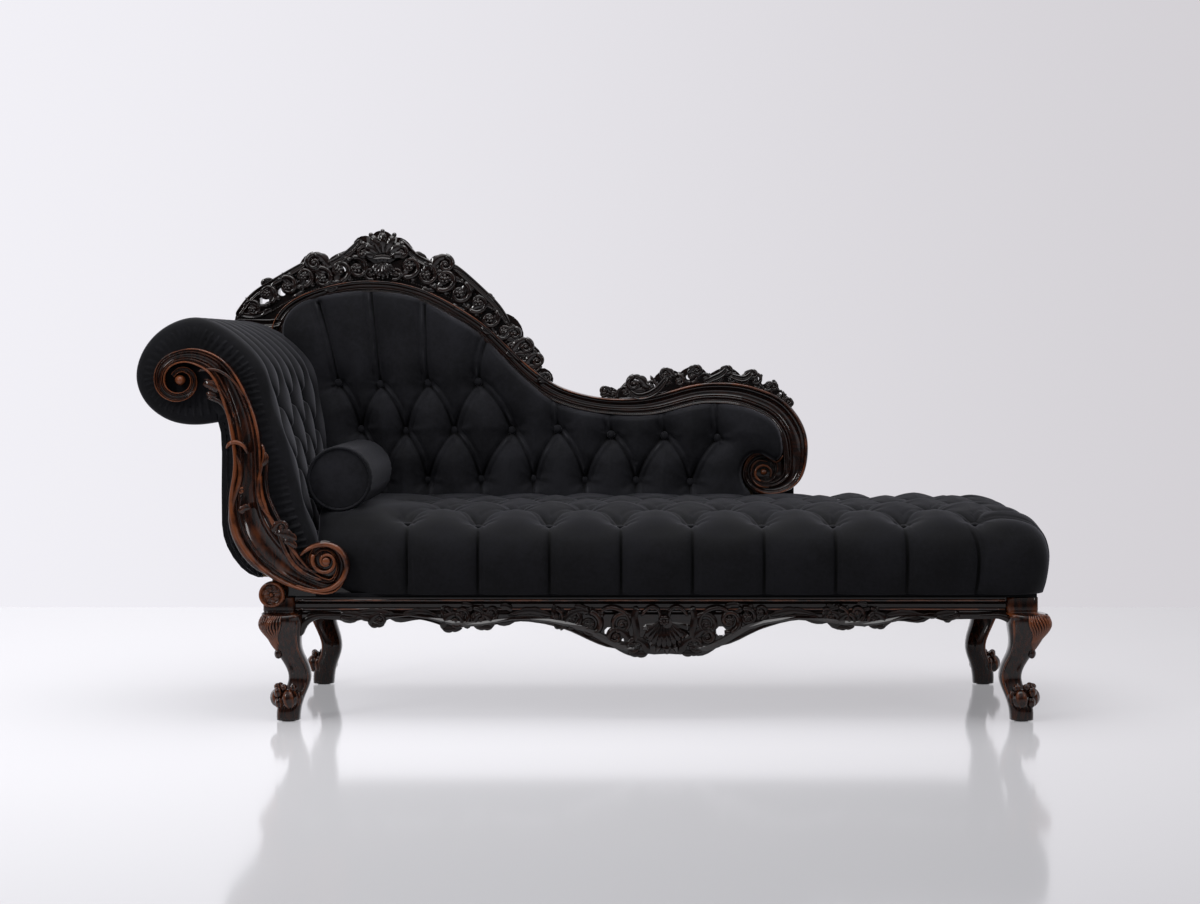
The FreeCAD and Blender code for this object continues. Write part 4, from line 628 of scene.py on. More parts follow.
def make_seat(material, look):
    """The seat's cover: its plain form pushed out and in along its own ways. On the top, creases and pits
    come from plan places, and on the sides, blended over the shoulder, pleats come from the outline's run."""
    grid, rise, spine, outline, travel = seat_grid()
    x, y = grid[:, :, 0], grid[:, :, 1]
    level = np.clip(rise, 0, 1)
    rows = seat_button_places()
    last = np.array([row[-1] for row in rows if row[-1][0] > SEAT_END - SEAT_PITCH * 1.2])
    over_front = np.column_stack([rows[0][:, 0], np.full(len(rows[0]), -SEAT_SIDE - 0.02)])
    over_end = np.column_stack([np.full(len(last), SEAT_END + 0.02), last[:, 1]])
    starts, ends = creases_between(rows, SEAT_PITCH * 0.6)
    starts, ends = np.concatenate([starts, rows[0], last]), np.concatenate([ends, over_front, over_end])
    tufts, brushed_tone_and_painted_light = drawn_in(grid[:, :, :2].reshape(-1, 2), np.concatenate(rows), starts, ends,
                              SEAT_RELIEF * look.pit_depth, 0.026, 0.8 * look.crease_depth, 0.0075,
                              SEAT_RELIEF * look.pillow, 0.038)
    tufts = tufts.reshape(rise.shape) * seat_shallow(x, y)
    pleated, pleat_painted_light = seat_pleats(outline, travel, rows, last, look)
    pleated = pleated[:, None] * np.clip(np.sin(np.pi * level ** 0.6), 0.2, 1)
    blend = smooth((rise - 0.72) / 0.20)
    uneven = soft_waves(grid.reshape(-1, 3), 0.16, 5).reshape(rise.shape) * 0.002
    normal = surface_normals(grid)
    normal *= -np.sign(normal[len(outline) // 3, SEAT_RISE_ROWS // 2, 1])
    grid = grid + normal * (pleated * (1 - blend) + tufts * blend + uneven)[:, :, None]
    grid[:, :, 2] -= seat_fall(grid[:, :, 0], grid[:, :, 1]) * level ** 2
    press_under_bolster(grid)
    grid[:, -1, 1] = 0.0
    grid[[0, -1], :, 0] = SEAT_LEFT
    under = np.column_stack([spine, np.full(len(spine), SEAT_FOOT)])
    grid = np.concatenate([under[:, None], grid], 1)
    meet_on_spine(grid, outline)
    # Painted shade and highlight of the sides' pleats and the top's tufts, blended over the shoulder like
    # their shapes.
    brushed_tone_and_painted_light = pleat_painted_light[:, None] * (1 - blend) + brushed_tone_and_painted_light.reshape(rise.shape) * blend
    brushed_tone_and_painted_light = np.concatenate([np.zeros((len(spine), 1)), brushed_tone_and_painted_light], 1)
    seat = Piece()
    seat.add(grid.reshape(-1, 3), [grid_faces(*grid.shape[:2])], brushed_tone_and_painted_light.ravel())
    made = seat.make("seat_velvet", material, "frame", ["seat_cushion"])
    finish_soft(made)
    return made


def top_under(made, places):
    """The height of a piece's upper side at each plan place, as the mean over the few nearest points."""
    points = np.empty(3 * len(made.data.vertices))
    made.data.vertices.foreach_get("co", points)
    points = points.reshape(-1, 3)
    upper = points[points[:, 2] > (SEAT_FOOT + SEAT_TOP) / 2]
    return np.array([
        upper[np.argsort(np.sum((upper[:, :2] - place) ** 2, axis=1))[:6], 2].mean() for place in places
    ])


def finish_soft(made):
    shape = bmesh.new()
    shape.from_mesh(made.data)
    bmesh.ops.remove_doubles(shape, verts=shape.verts, dist=0.0002)
    bmesh.ops.dissolve_degenerate(shape, edges=shape.edges, dist=1e-6)
    bmesh.ops.holes_fill(shape, edges=[edge for edge in shape.edges if edge.is_boundary], sides=0)
    bmesh.ops.recalc_face_normals(shape, faces=shape.faces)
    shape.to_mesh(made.data)
    shape.free()


def buttons_piece(name, places, outward, radius, material, replaced):
    """Covered buttons: rings of cosine radius and sine height about each place."""
    piece = Piece()
    angle = np.linspace(0, 2 * np.pi, 14, endpoint=False)
    rise = np.array([-0.9, -0.35, 0.0, 0.35, 0.70, 1.05, 1.35])
    reach = radius * np.where(rise < 0, 1.0 + 0.25 * rise, np.cos(np.clip(rise, 0, 2)))
    up = radius * np.where(rise < 0, rise * 0.5, 0.55 * np.sin(np.clip(rise, 0, 2)))
    for place, way in zip(places, outward):
        side = unit(np.cross(way, [0.3, 0.2, 0.9]))
        ring = np.cos(angle)[:, None] * side + np.sin(angle)[:, None] * np.cross(way, side)
        grid = place + reach[:, None, None] * ring[None] + up[:, None, None] * way
        piece.add_rings(grid, place + way * up[0], place + way * up[-1] * 1.01)
    return piece.make(name, material, "frame", replaced)


def flat_pad(name, outline, spacing, height_of, back_y, material, replaced, sunk=-1.0):
    """A pad on an upright outline of (x, z): a square grid is kept inside it, its rim is moved on to it, the
    front stands where height_of says from the flat place and its distance to the rim, leaving out edges below
    sunk, and a flat back closes it."""
    low, high = outline.min(0), outline.max(0)
    xs = np.arange(low[0], high[0] + spacing, spacing)
    zs = np.arange(low[1], high[1] + spacing, spacing)
    flat = np.stack(np.meshgrid(xs, zs, indexing="ij"), -1).reshape(-1, 2)
    starts, ends = outline, np.roll(outline, -1, axis=0)
    seen_edges = (starts[:, 1] > sunk) | (ends[:, 1] > sunk)
    distance = nearest_segment(flat, starts[seen_edges], ends[seen_edges])[0]
    inside = np.zeros(len(flat), bool)
    for start, end in zip(starts, ends):
        crosses = (start[1] > flat[:, 1]) != (end[1] > flat[:, 1])
        run = (end[1] - start[1]) or 1e-12
        inside ^= crosses & (flat[:, 0] < start[0] + (flat[:, 1] - start[1]) / run * (end[0] - start[0]))
    faces = grid_faces(len(xs), len(zs))
    faces = faces[inside[faces].sum(1) >= 2]
    used = np.unique(faces)
    rim = used[~inside[used]]
    best = np.full(len(rim), 1e9)
    moved = flat[rim].copy()
    for start, end in zip(starts, ends):
        way = end - start
        share = np.clip((flat[rim] - start) @ way / max(way @ way, 1e-12), 0, 1)
        spot = start + share[:, None] * way
        apart = np.linalg.norm(flat[rim] - spot, axis=1)
        moved = np.where((apart < best)[:, None], spot, moved)
        best = np.minimum(best, apart)
    flat[rim] = moved
    distance[rim] = nearest_segment(moved, starts[seen_edges], ends[seen_edges])[0]
    renumber = np.full(len(flat), -1)
    renumber[used] = np.arange(len(used))
    faces = renumber[faces]
    flat, distance = flat[used], distance[used]
    # height_of also gives the front's painted shade and highlight, kept on both faces.
    stood, brushed_tone_and_painted_light = height_of(flat, distance)
    front, back = upright(flat, stood), upright(flat, back_y)
    size = len(flat)
    edges = np.stack([faces, np.roll(faces, -1, axis=1)], -1).reshape(-1, 2)
    keys = edges[:, 0] * size + edges[:, 1]
    twins = edges[:, 1] * size + edges[:, 0]
    open_edges = edges[~np.isin(keys, twins)]
    wall = np.stack([open_edges[:, 1], open_edges[:, 0], open_edges[:, 0] + size, open_edges[:, 1] + size], 1)
    piece = Piece()
    piece.add(np.concatenate([front, back]), [faces, faces[:, ::-1] + size, wall],
              np.concatenate([brushed_tone_and_painted_light, brushed_tone_and_painted_light]))
    made = piece.make(name, material, "frame", replaced)
    return made


def back_rows():
    """Buttons of the back, row by row from the top, as (x, z)."""
    return [shares(BACK_SPAN, row) for row in BACK_BUTTONS]


def make_back(material, look):
    """The inside of the back: a pad on its own outline, tufted between the buttons. From the upper buttons
    creases run up to the rail, and from the lowest ones down behind the seat."""
    rows = back_rows()
    rail = shares(BACK_SPAN, BACK_RAIL_SHARES)[:, :2]
    rail = spline(rail, 0.01)
    up = np.concatenate([rows[0], rows[1][4:]])
    tops = np.column_stack([up[:, 0], np.interp(up[:, 0], rail[:, 0], rail[:, 1])])
    tops[:len(BACK_CREASE_TOPS)] = seen(BACK_CREASE_TOPS, 0.212)
    feet = np.column_stack([rows[2][:, 0], np.full(len(rows[2]), SEAT_TOP - 0.02)])
    starts, ends = creases_between(rows, BACK_BUTTON_PITCH * 0.66)
    starts, ends = np.concatenate([starts, up, rows[2]]), np.concatenate([ends, tops, feet])
    outline = spline(shares(BACK_SPAN, BACK_PAD_EDGE), 0.006)
    outline[outline[:, 1] < SEAT_TOP + 0.004, 1] = SEAT_TOP - 0.006

    def stands(flat, distance):
        """Where the front stands, and its painted shade and highlight, from its flat places and their way to
        the rim.
        """
        depth, brushed_tone_and_painted_light = drawn_in(flat, np.concatenate(rows), starts, ends, look.pit_depth, 0.027,
                                  1.25 * look.crease_depth, 0.0085, look.pillow, 0.040)
        slope = 0.016 * np.exp(-distance / 0.045)
        uneven = soft_waves(upright(flat, 0.0), 0.18, 9) * 0.0025
        crown = BACK_SEAM - BACK_CROWN - slope + depth + uneven
        return BACK_SEAM - quarter(distance / 0.011) * crown, brushed_tone_and_painted_light

    return flat_pad("back_velvet", outline, 0.0033, stands, BACK_REAR, material, ["back_pad"],
                    SEAT_TOP + 0.02)


def arm_edge(flare, inset, count=150):
    """The arm's outer line at a flare, moved inwards along its normal, with heights at least the seat
    rail's."""
    line = shares(ARM_SPAN, ARM_LINE)
    line[:, 0] += flare * line[:, 2] * 0.042
    line = spline(line[:, :2], count=count)
    heading = unit(np.gradient(line, axis=0))
    moved = line + np.stack([-heading[:, 1], heading[:, 0]], 1) * inset
    moved[:, 1] = np.maximum(moved[:, 1], ARM_FOOT)
    return moved


def arm_joins(look, share):
    """Places of the flutes' joins over the depth: straight over the roll, and lower down swung from side to
    side, each against its neighbour, so that the flutes pinch into diamonds."""
    joins = np.array(look.flute_joins)
    swing = np.clip((ARM_DIAMONDS - share) / 0.06, 0, 1) * np.clip((share - 0.01) / 0.03, 0, 1)
    ways = np.where(np.arange(len(joins)) % 2, 1, -1)
    return joins[:, None] + 0.0235 * ways[:, None] * swing * np.sin(share / ARM_WAVE * 2 * np.pi)


def arm_buttons(look):
    """Share along the arm's line and place over its depth of each button: where two neighbouring joins
    meet."""
    joins = np.array(look.flute_joins)
    between = (joins[:-1] + joins[1:]) / 2
    places = [
        (ARM_WAVE * (0.25 + 0.5 * index), y) for index in range(1, 6) for join, y in enumerate(between)
        if (join + index) % 2 and ARM_WAVE * (0.25 + 0.5 * index) < ARM_DIAMONDS
    ]
    return np.array(places)


def make_arm(material, look):
    """The roll: the arm's outline carried back over the depth, drawn in at the joins of the flutes, which
    stand out as half ellipses between them, and at the buttons. The front edge is a quarter turn, and the
    rear stops short of the back's frame."""
    depth = np.concatenate([np.linspace(0, ARM_ROUND, 7)[:-1], np.linspace(ARM_ROUND, ARM_DEPTH, 190)])
    count = 300
    share = np.linspace(0, 1, count)
    front = np.full((1, count), ARM_FRONT)
    joined = np.sort(np.concatenate([front, arm_joins(look, share), -front]), axis=0)
    buttons = arm_buttons(look)
    rows, flute_painted_lights = [], []
    for inwards in depth:
        y = ARM_FRONT + inwards
        cell = np.clip((joined <= y).sum(0) - 1, 0, len(joined) - 2)
        low, high = joined[cell, np.arange(count)], joined[cell + 1, np.arange(count)]
        half = np.maximum((high - low) / 2, 1e-4)
        off = np.clip(np.abs(y - (low + high) / 2) / half, 0, 1)
        crown = look.flute_depth * (np.clip(half / 0.016, 0, 1) * np.sqrt(1 - off ** 2) - 1)
        line = arm_edge(inwards / ARM_DEPTH, 0.0, count)
        heading = unit(np.gradient(line, axis=0))
        normal = np.stack([-heading[:, 1], heading[:, 0]], 1)
        run = run_along(line)
        at = np.interp(buttons[:, 0], share, run)
        near = np.min(np.hypot(run[:, None] - at, y - buttons[:, 1]), axis=1)
        crown = crown - 0.010 * np.exp(-(near / 0.014) ** 1.5)
        edge = ARM_ROUND * (1 - quarter(inwards / ARM_ROUND))
        # Painted light: a highlight along one side of each flute, painted shade at the joins and round each
        # button.
        flute_painted_light = 0.55 * hill(off, 0.66, 0.14) * (y > (low + high) / 2)
        flute_painted_light = flute_painted_light - 1.1 * np.clip((off - 0.84) / 0.16, 0, 1) - hill(near, 0.0, 0.009)
        flute_painted_lights.append(np.concatenate([flute_painted_light * (inwards > 0.03), np.zeros(count)]))
        outer = line + normal * (edge - crown - 0.004)[:, None]
        outer[:, 1] = np.maximum(outer[:, 1], ARM_FOOT)
        ring = np.concatenate([outer, arm_edge(inwards / ARM_DEPTH, ARM_THICKNESS, count)[::-1]])
        rows.append(upright(ring, y))
    grid = np.array(rows)
    points = grid.reshape(-1, 3)
    points[:, 0] += soft_waves(points, 0.12, 21) * 0.0012
    notch = (points[:, 0] > ARM_NOTCH[0]) & (points[:, 1] > ARM_NOTCH[1])
    points[notch, 1] = ARM_NOTCH[1]
    size, columns = grid.shape[:2]
    at = np.arange(count - 1)
    far = columns - 1 - at
    caps = [
        np.stack([base + at, base + at + 1, base + far - 1, base + far], 1)
        for base in (0, (size - 1) * columns)
    ]
    faces = [grid_faces(size, columns, wrap_columns=True), caps[0][:, ::-1], caps[1]]
    piece = Piece()
    piece.add(points, faces, np.concatenate(flute_painted_lights))
    made = piece.make("arm_velvet", material, "frame", ["arm_pad"])
    finish_soft(made)
    return made


def make_arm_face(material):
    """The front face of the arm: a thin pad, gathered to its seam: waves along the rim's run that fade
    inwards."""
    outer = arm_edge(0.0, 0.010, 120)
    outside = shares(ARM_SPAN, ARM_OUTSIDE[1:])[:, :2] + [0.011, 0.0]
    outline = np.concatenate([outer[2:], outside, [[outer[2, 0] - 0.12, ARM_FOOT]]])
    corners = np.concatenate([outline, outline[:1]])
    travel = run_along(corners)
    runs = np.arange(0.0, travel[-1], 0.002)
    rim_line = np.stack([np.interp(runs, travel, column) for column in corners.T], 1)

    def stands(flat, distance):
        """Where the front stands, and its painted light, from its flat places and their way to the rim: the
        gathers are painted lighter where they stand out and darker where they sink.
        """
        best = np.full(len(flat), 1e9)
        run = np.zeros(len(flat))
        for place, place_run in zip(rim_line, runs):
            apart = np.linalg.norm(flat - place, axis=1)
            run = np.where(apart < best, place_run, run)
            best = np.minimum(best, apart)
        strong = 0.25 + 0.75 * np.sin(run * 7.5 + 1.2) ** 2
        gathers = 0.0042 * strong * np.sin(run * 2 * np.pi / 0.015 + 1.8 * np.sin(run * 31))
        gathers = gathers * np.clip(distance / 0.008, 0, 1) * np.exp(-distance / 0.032)
        return ARM_SEAM - quarter(distance / 0.026) * 0.0100 - gathers, gathers * 170

    return flat_pad("arm_face_velvet", outline, 0.0028, stands, ARM_REAR, material, ["arm_facing"])


def arm_button_places(look):
    """Places of the arm's buttons on its cover, and the ways they face."""
    places, ways = [], []
    for share, y in arm_buttons(look):
        line = arm_edge((y - ARM_FRONT) / ARM_DEPTH, look.flute_depth + 0.004, 300)
        heading = unit(np.gradient(line, axis=0))
        at = int(share * 299)
        places.append([line[at, 0], y, line[at, 1]])
        ways.append([heading[at, 1], 0.0, -heading[at, 0]])
    return np.array(places), np.array(ways)


def make_bolster(material):
    """The bolster: a closed round form, the radius rising over a dished end and a quarter turn, with faint
    lengthwise waves and gathers at each end."""
    low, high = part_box("bolster")
    middle_x, middle_z = (low[0] + high[0]) / 2, (low[2] + high[2]) / 2 - BOLSTER_SINK
    radius = (high[2] - low[2]) / 2 + BOLSTER_SWELL
    length = high[1] - low[1]
    end = 0.020
    rim = radius - end * 0.6
    turn = np.linspace(0, 2 * np.pi, 96, endpoint=False)
    face = np.array([0.0, 0.25, 0.5, 0.72, 0.86, 0.94])
    bend = np.linspace(0.1, 1.0, 7) * np.pi / 2
    body = np.linspace(end, length - end, 60)[1:-1]
    reach = np.concatenate([face * rim, rim + end * 0.6 * np.sin(bend)])
    along = np.concatenate([end * 0.558 * (0.45 + 0.55 * face ** 2),
                            end * (0.56 + 0.44 * (1 - np.cos(bend)))])
    reach = np.concatenate([reach, np.full(len(body), radius), reach[::-1]])[:, None]
    along = np.concatenate([along, body, length - along[::-1]])[:, None]
    wrinkle = 0.0009 * np.sin(7 * turn) * np.sin(np.pi * along / length)
    near_end = np.exp(-np.minimum(along, length - along) / 0.035)
    gathered = 0.0013 * near_end * np.sin(26 * turn + 2 * np.sin(5 * turn))
    grown = reach + (wrinkle + gathered) * (reach > radius * 0.9)
    z = middle_z + grown * np.sin(turn)
    z = np.where(np.sin(turn) < -0.93, np.maximum(z, middle_z - radius + 0.0004), z)
    grid = np.stack([middle_x + grown * np.cos(turn), np.broadcast_to(low[1] + along, z.shape), z], -1)
    grid[0] = grid[0].mean(0)
    grid[-1] = grid[-1].mean(0)
    piece = Piece()
    piece.add(grid.reshape(-1, 3), [grid_faces(len(grid), len(turn), wrap_columns=True)])
    made = piece.make("bolster_velvet", material, "bolster", ["bolster"])
    finish_soft(made)
    return made


def make_bolster_cord(material):
    """Two piping rings: a small circle carried round a large one, with a fine twist pressed into it."""
    low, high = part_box("bolster_piping")
    middle = ((low[0] + high[0]) / 2, (low[2] + high[2]) / 2 - BOLSTER_SINK)
    radius = (high[2] - low[2]) / 2 - 0.0032 + BOLSTER_SWELL
    turn = np.linspace(0, 2 * np.pi, 160, endpoint=False)
    small = np.linspace(0, 2 * np.pi, 8, endpoint=False)
    piece = Piece()
    for y in (low[1] + 0.0035, high[1] - 0.0035):
        thick = 0.0032 * (1 + 0.10 * np.sin(small[None, :] + 40 * turn[:, None]))
        reach = radius + thick * np.cos(small)[None, :]
        grid = np.stack([
            middle[0] + reach * np.cos(turn)[:, None], y + thick * np.sin(small)[None, :],
            middle[1] + reach * np.sin(turn)[:, None],
        ], -1)
        piece.add(grid.reshape(-1, 3), [grid_faces(len(turn), len(small), True, True)])
    return piece.make("bolster_cord", material, "bolster", ["bolster_piping"])


def wound(table, eye, radius, band):
    """Volute points to metres: offsets from the eye in its radius, and widths as shares of the band."""
    table = np.array(table, float)
    return np.stack([eye[0] + table[:, 0] * radius, eye[1] + table[:, 1] * radius, table[:, 2] * band], 1)


def rail_line():
    """The back rail's line with its widths, from the arm round into the volute, and the volute's eye."""
    line = shares(BACK_SPAN, BACK_RAIL_SHARES)
    line[:, 2] *= RAIL_BAND
    eye = shares(BACK_SPAN, [BACK_EYE])[0]
    return np.concatenate([line, wound(BACK_VOLUTE, eye, BACK_VOLUTE_RADIUS, RAIL_BAND)]), eye


BACK_VOLUTE_STRANDS = [
    [(783, 455, 3.0), (776, 462, 3.0), (768, 457, 3.5), (758, 453.5, 3.5), (749.5, 457.5, 3.5),
     (744.5, 467, 3.5), (743.5, 476, 3.5), (747.5, 484.5, 3.5), (755.5, 490.5, 3.5), (766, 493, 3.0),
     (778, 491.5, 2.0)],
    [(768, 462, 1.5), (759, 460.5, 2.5), (753, 465, 3.0), (751, 473, 3.0), (753.5, 481, 3.0), (760, 486, 2.5),
     (769, 487, 1.5)],
    [(761, 481.5, 2.5), (756, 477, 3.0), (755.5, 470.5, 3.0), (760, 466, 3.0), (766.5, 466, 3.0),
     (771, 471, 3.0), (770, 477.5, 2.5)],
]


def make_back_rail(material):
    """The carved rail of the back: its moulding carried along the serpentine line into the volute, whose
    relief falls as the band narrows, with strands wound in the volute and small beads along the rail."""
    line, eye = rail_line()
    line = spline(line, 0.005)
    widths = np.abs(line[:, 2]) / 2
    piece = Piece()
    path, across = relief(piece, line, RAIL_FACE, RAIL_PROFILE, widths,
                          0.0165 * np.clip(widths / 0.014, 0.45, 1.0))
    dome(piece, *eye, RAIL_FACE + 0.006, 0.051, 0.006, 0.0, 48, 4)
    for strand, worn in zip(BACK_VOLUTE_STRANDS, (1.0, 1.0, 2.0)):
        ribbon(piece, seen(strand, RAIL_FACE), RAIL_FACE - 0.004, STRAND_PROFILE, 1.3, 0.0025, worn, 0.03)
    dome(piece, *eye, RAIL_FACE - 0.003, 0.0080, 0.008, 1.9, 20, 6)
    for place, side, half in zip(path, across, widths):
        if half > 0.0120 and place[0] < 0.40:
            bead = place + side * half * 0.65
            dome(piece, bead[0], bead[2], RAIL_FACE - 0.004, 0.0021, 0.0040, 0.3, 6, 2)
    return piece.make("back_rail_carved", material, "frame", ["back_top_rail"])


def scroll_line():
    """The arm scroll's line with its widths, from volute to volute, and the two eyes."""
    upper, lower = shares(ARM_SPAN, [UPPER_EYE, LOWER_EYE])
    middle = shares(ARM_SPAN, ARM_SCROLL)
    middle[:, 2] *= SCROLL_BAND
    first = wound(UPPER_VOLUTE[::-1], upper, SCROLL_RADIUS, SCROLL_BAND)
    last = wound(LOWER_VOLUTE, lower, SCROLL_RADIUS, SCROLL_BAND)
    return np.concatenate([first, middle, last]), upper, lower




def make_arm_scroll(material):
    """The carved scroll of the arm: its channelled moulding carried from volute to volute, rubbed more over
    the belly's hollow."""
    line, upper, lower = scroll_line()
    line = spline(line, 0.0035)
    widths = np.abs(line[:, 2]) / 2
    piece = Piece()
    relief(piece, line, ARM_FACE - 0.0005, SCROLL_PROFILE, widths,
           0.0200 * np.clip(widths / 0.020, 0.42, 1.0))
    cove = np.clip(1 - np.abs(np.array(SCROLL_PROFILE)[:, 0] + 0.05) / 0.42, 0, 1)
    belly = 0.62 * hill(np.linspace(0, 1, len(line)), 0.70, 0.14)
    piece.rubs[-1] = piece.rubs[-1] + np.concatenate([(belly[:, None] * cove).ravel(), [0.0, 0.0]])
    dome(piece, *upper, ARM_FACE - 0.0005, 0.0115, 0.018, 1.0, 20, 6)
    dome(piece, *lower, ARM_FACE + 0.0015, 0.0400, 0.004, 0.0, 40, 4)
    return piece.make("arm_scroll_carved", material, "frame", ["arm_scroll"])


def way_at(angle):
    """The flat way at an angle."""
    return np.array([math.cos(angle), math.sin(angle)])


def rinceau(piece, cells, y, start_side=1, reach=0.76, lift=1.25):
    """Running scrollwork in a band: for each cell of (x, z, half height) a strap winds into a spiral that
    ends in a rosette, its stem comes from the far edge of the cell before, and leaves spring from its back
    into the corners. Neighbouring cells turn opposite ways."""
    cells = np.asarray(cells, float)
    ways = unit(np.gradient(cells[:, :2], axis=0))
    for index, ((x, z, half), way) in enumerate(zip(cells, ways)):
        up = np.array([-way[1], way[0]])
        side = start_side if index % 2 == 0 else -start_side
        radius = half * reach
        place = np.array([x, z]) - up * side * half * 0.12
        base = math.atan2(way[1], way[0])
        begin = base + side * 1.75
        curl(piece, *place, y, radius, begin, -1.35 * side, radius * 0.60, lift, inner=0.26)
        if index > 0:
            tail = place - way * half * 1.50 - up * side * half * 0.65
            middle = place - way * half * 1.05 + up * side * half * 0.45
            leaf(piece, [tail, middle, place + radius * way_at(begin)], y, half * 0.46, 2, lift * 0.9)
        for spread, long in ((0.55, 0.95), (-0.45, 0.80)):
            out = way_at(base + side * (math.pi / 2 - spread))
            bend = np.array([-out[1], out[0]]) * side * half * 0.22
            foot = place + out * radius * 0.75
            tip = foot + out * half * long * 0.46 - bend
            leaf(piece, [foot, (foot + tip) / 2 + bend * 0.5, tip], y + 0.001, half * 0.52, 2, lift)
        if index < len(cells) - 1:
            out = way_at(base - side * math.pi / 2)
            foot = place + out * radius * 0.9
            under = [foot, foot + out * half * 0.2 + way * half * 0.3, foot + way * half * 0.95]
            leaf(piece, under, y + 0.001, half * 0.40, 2, lift)
        rosette(piece, *place, y - radius * 0.16, radius * 0.40)


def rosette(piece, x, z, y, radius, petals=5):
    """A small flower: a ring of domes round a higher one."""
    for turn in 2 * np.pi * np.arange(petals) / petals + 0.3:
        place = np.array([x, z]) + radius * 0.62 * way_at(turn)
        dome(piece, *place, y, radius * 0.46, radius * 0.42, 0.8, 8, 3)
    dome(piece, x, z, y - radius * 0.12, radius * 0.36, radius * 0.5, 1.0, 8, 3)


def fan(piece, x, z, y, reach, side, open_angle, count, width, lift, middle):
    """Feathers spread about a point, upwards for a side of 1 and down for -1, from the open angle on the
    right to that on the left. The middle ones are longer by the middle's factor, and the tips curl out."""
    place = np.array([x, z])
    for share in np.arange(count) / (count - 1):
        out = way_at(side * (open_angle + (math.pi - 2 * open_angle) * share))
        long = reach * (1 + (middle - 1) * math.sin(math.pi * share))
        bend = np.array([-out[1], out[0]]) * (share - 0.5) * long * 0.35
        foot = place + out * reach * 0.16
        tip = place + out * long + bend
        leaf(piece, [foot, (foot + tip) / 2 - bend * 0.2, tip], y, width, 3, lift, 1.0, 1.5)
        dome(piece, *tip, y, width * 0.30, width * 0.34, 1.0, 8, 3)


def knob(piece, x, z, y, radius, side):
    """A leafy knob: a spiral that opens to the side, with a leaf folded over it and one under it."""
    curl(piece, x, z, y, radius, math.pi / 2, -side * 1.3, radius * 0.8, inner=0.25)
    place, across = np.array([x, z]), np.array([side * radius, radius])
    foot = place + across * [-1.7, -0.9]
    over = [foot, place + across * [-1.1, 0.6], place + across * [0.3, 1.08]]
    under = [foot, place + across * [-0.6, -0.9], place + across * [0.8, -0.8]]
    leaf(piece, over, y, radius * 1.1)
    leaf(piece, under, y + 0.001, radius * 0.9, 2)


CREST_CELLS = [
    (252, 308, 12), (268, 295, 13.5), (287, 285, 14), (304, 278, 13.5), (322, 277, 15), (340, 272, 15.5),
    (357, 267, 16),
]
CREST_RIGHT_CELLS = [
    (409, 268, 16), (427, 274, 15), (444, 281, 16.5), (461, 292, 15.5), (477, 304, 14.5), (491, 318, 13.5),
    (503, 332, 11.5), (514, 345, 10.5), (525, 356, 10), (535, 367, 7.5),
]
CREST_EDGES = [
    [(236, 321, 5.0), (246, 322, 6.0), (258, 323.5, 9.0), (271, 324, 10.0), (281, 322, 9.0)],
    [(240, 314, 4.0), (250, 316, 5.0), (262, 314, 5.0), (272, 309, 4.0)],
    [(237, 317, 7.0), (246, 304, 7.0), (257, 293, 7.0), (271, 284, 7.0), (288, 274, 7.0), (305, 264, 6.0)],
    [(452, 265, 6.0), (463, 274, 7.0), (485, 294, 7.0), (499, 309, 7.0), (509, 325, 6.0)],
    [(322, 268, 7.0), (332, 264, 8.0), (344, 257, 8.0), (354, 248, 7.0), (361, 240, 5.0)],
    [(438, 268, 7.0), (429, 264, 8.0), (416, 257, 8.0), (407, 248, 7.0), (400, 240, 5.0)],
]
CREST_BEADS = [(271, 312), (288, 302), (316, 289), (344.5, 281), (372.6, 278), (400.6, 280), (429, 289),
               (457, 302), (485, 322), (513, 349), (535, 369), (556, 387)]
CREST_KNOBS = [(314, 263, 8.5, -1), (445.5, 265, 8.5, 1), (526, 347, 7.5, 1), (537, 361, 6.5, 1),
               (546, 378, 4.5, 1), (515, 334, 6.0, 1)]
SMALL_CELLS = [
    (603, 393, 5.5), (613, 395, 5.0), (625, 391, 6.5), (638, 387, 8.5), (652, 386, 7.5), (665, 379, 9),
    (679, 380, 8), (692, 377, 8.5), (706, 378, 6.5), (719, 378, 6.5), (731, 378, 7.5), (744, 379, 7),
    (756, 379, 8), (768, 386, 7.5), (780, 396, 7.0), (790, 403, 5.0),
]
SMALL_KNOBS = [(604, 391, 4.0, -1), (634, 384, 7.5, -1), (665, 374, 5.0, -1), (697, 371, 5.0, 1),
               (728, 371, 4.5, 1), (753, 375, 4.5, 1), (774, 387, 4.0, 1), (789, 402, 3.5, 1)]
SMALL_BANDS = [
    [(629, 390, 4.0), (636, 396, 6.5), (648, 395, 7.5), (659, 388, 7.0), (667, 377, 4.5)],
    [(705, 382, 4.0), (714, 378, 6.0), (722, 374, 6.0), (727, 368, 4.0)],
    [(730, 375, 4.0), (738, 378, 6.0), (746, 378, 6.0), (752, 372, 4.0)],
]
APRON_CLUSTERS = [
    [(446, 615, 10), (461, 617, 13), (476, 616, 12.5), (491, 614, 10)],
    [(556, 616, 11), (572, 619, 14), (590, 623, 18)],
    [(730, 622, 16), (747, 616, 13), (761, 613, 10)],
    [(826, 614, 9), (841, 615, 12), (857, 615, 12), (872, 615, 10)],
]
APRON_EDGE = [
    [(340, 617, 5), (351, 619.5, 5), (368, 617.5, 5), (379, 622, 6), (386, 617, 5), (400, 616, 5),
     (419, 617, 5), (436, 621, 5), (452, 627, 5)],
    [(486, 624, 5), (502, 621, 5), (529, 618.5, 5), (560, 624, 5.5), (580, 632, 6), (598, 640.5, 6),
     (612, 645, 5.5), (626, 645, 5)],
    [(704, 646, 5), (718, 643, 6), (739, 636, 6), (759, 627, 5.5), (770, 623, 5), (790, 617.5, 5),
     (806, 617, 5), (822, 620, 5)],
    [(880, 624, 5), (892, 619, 5), (904, 618, 5), (917, 619, 5), (930, 615, 5), (945, 618.5, 5),
     (960, 615, 5)],
]
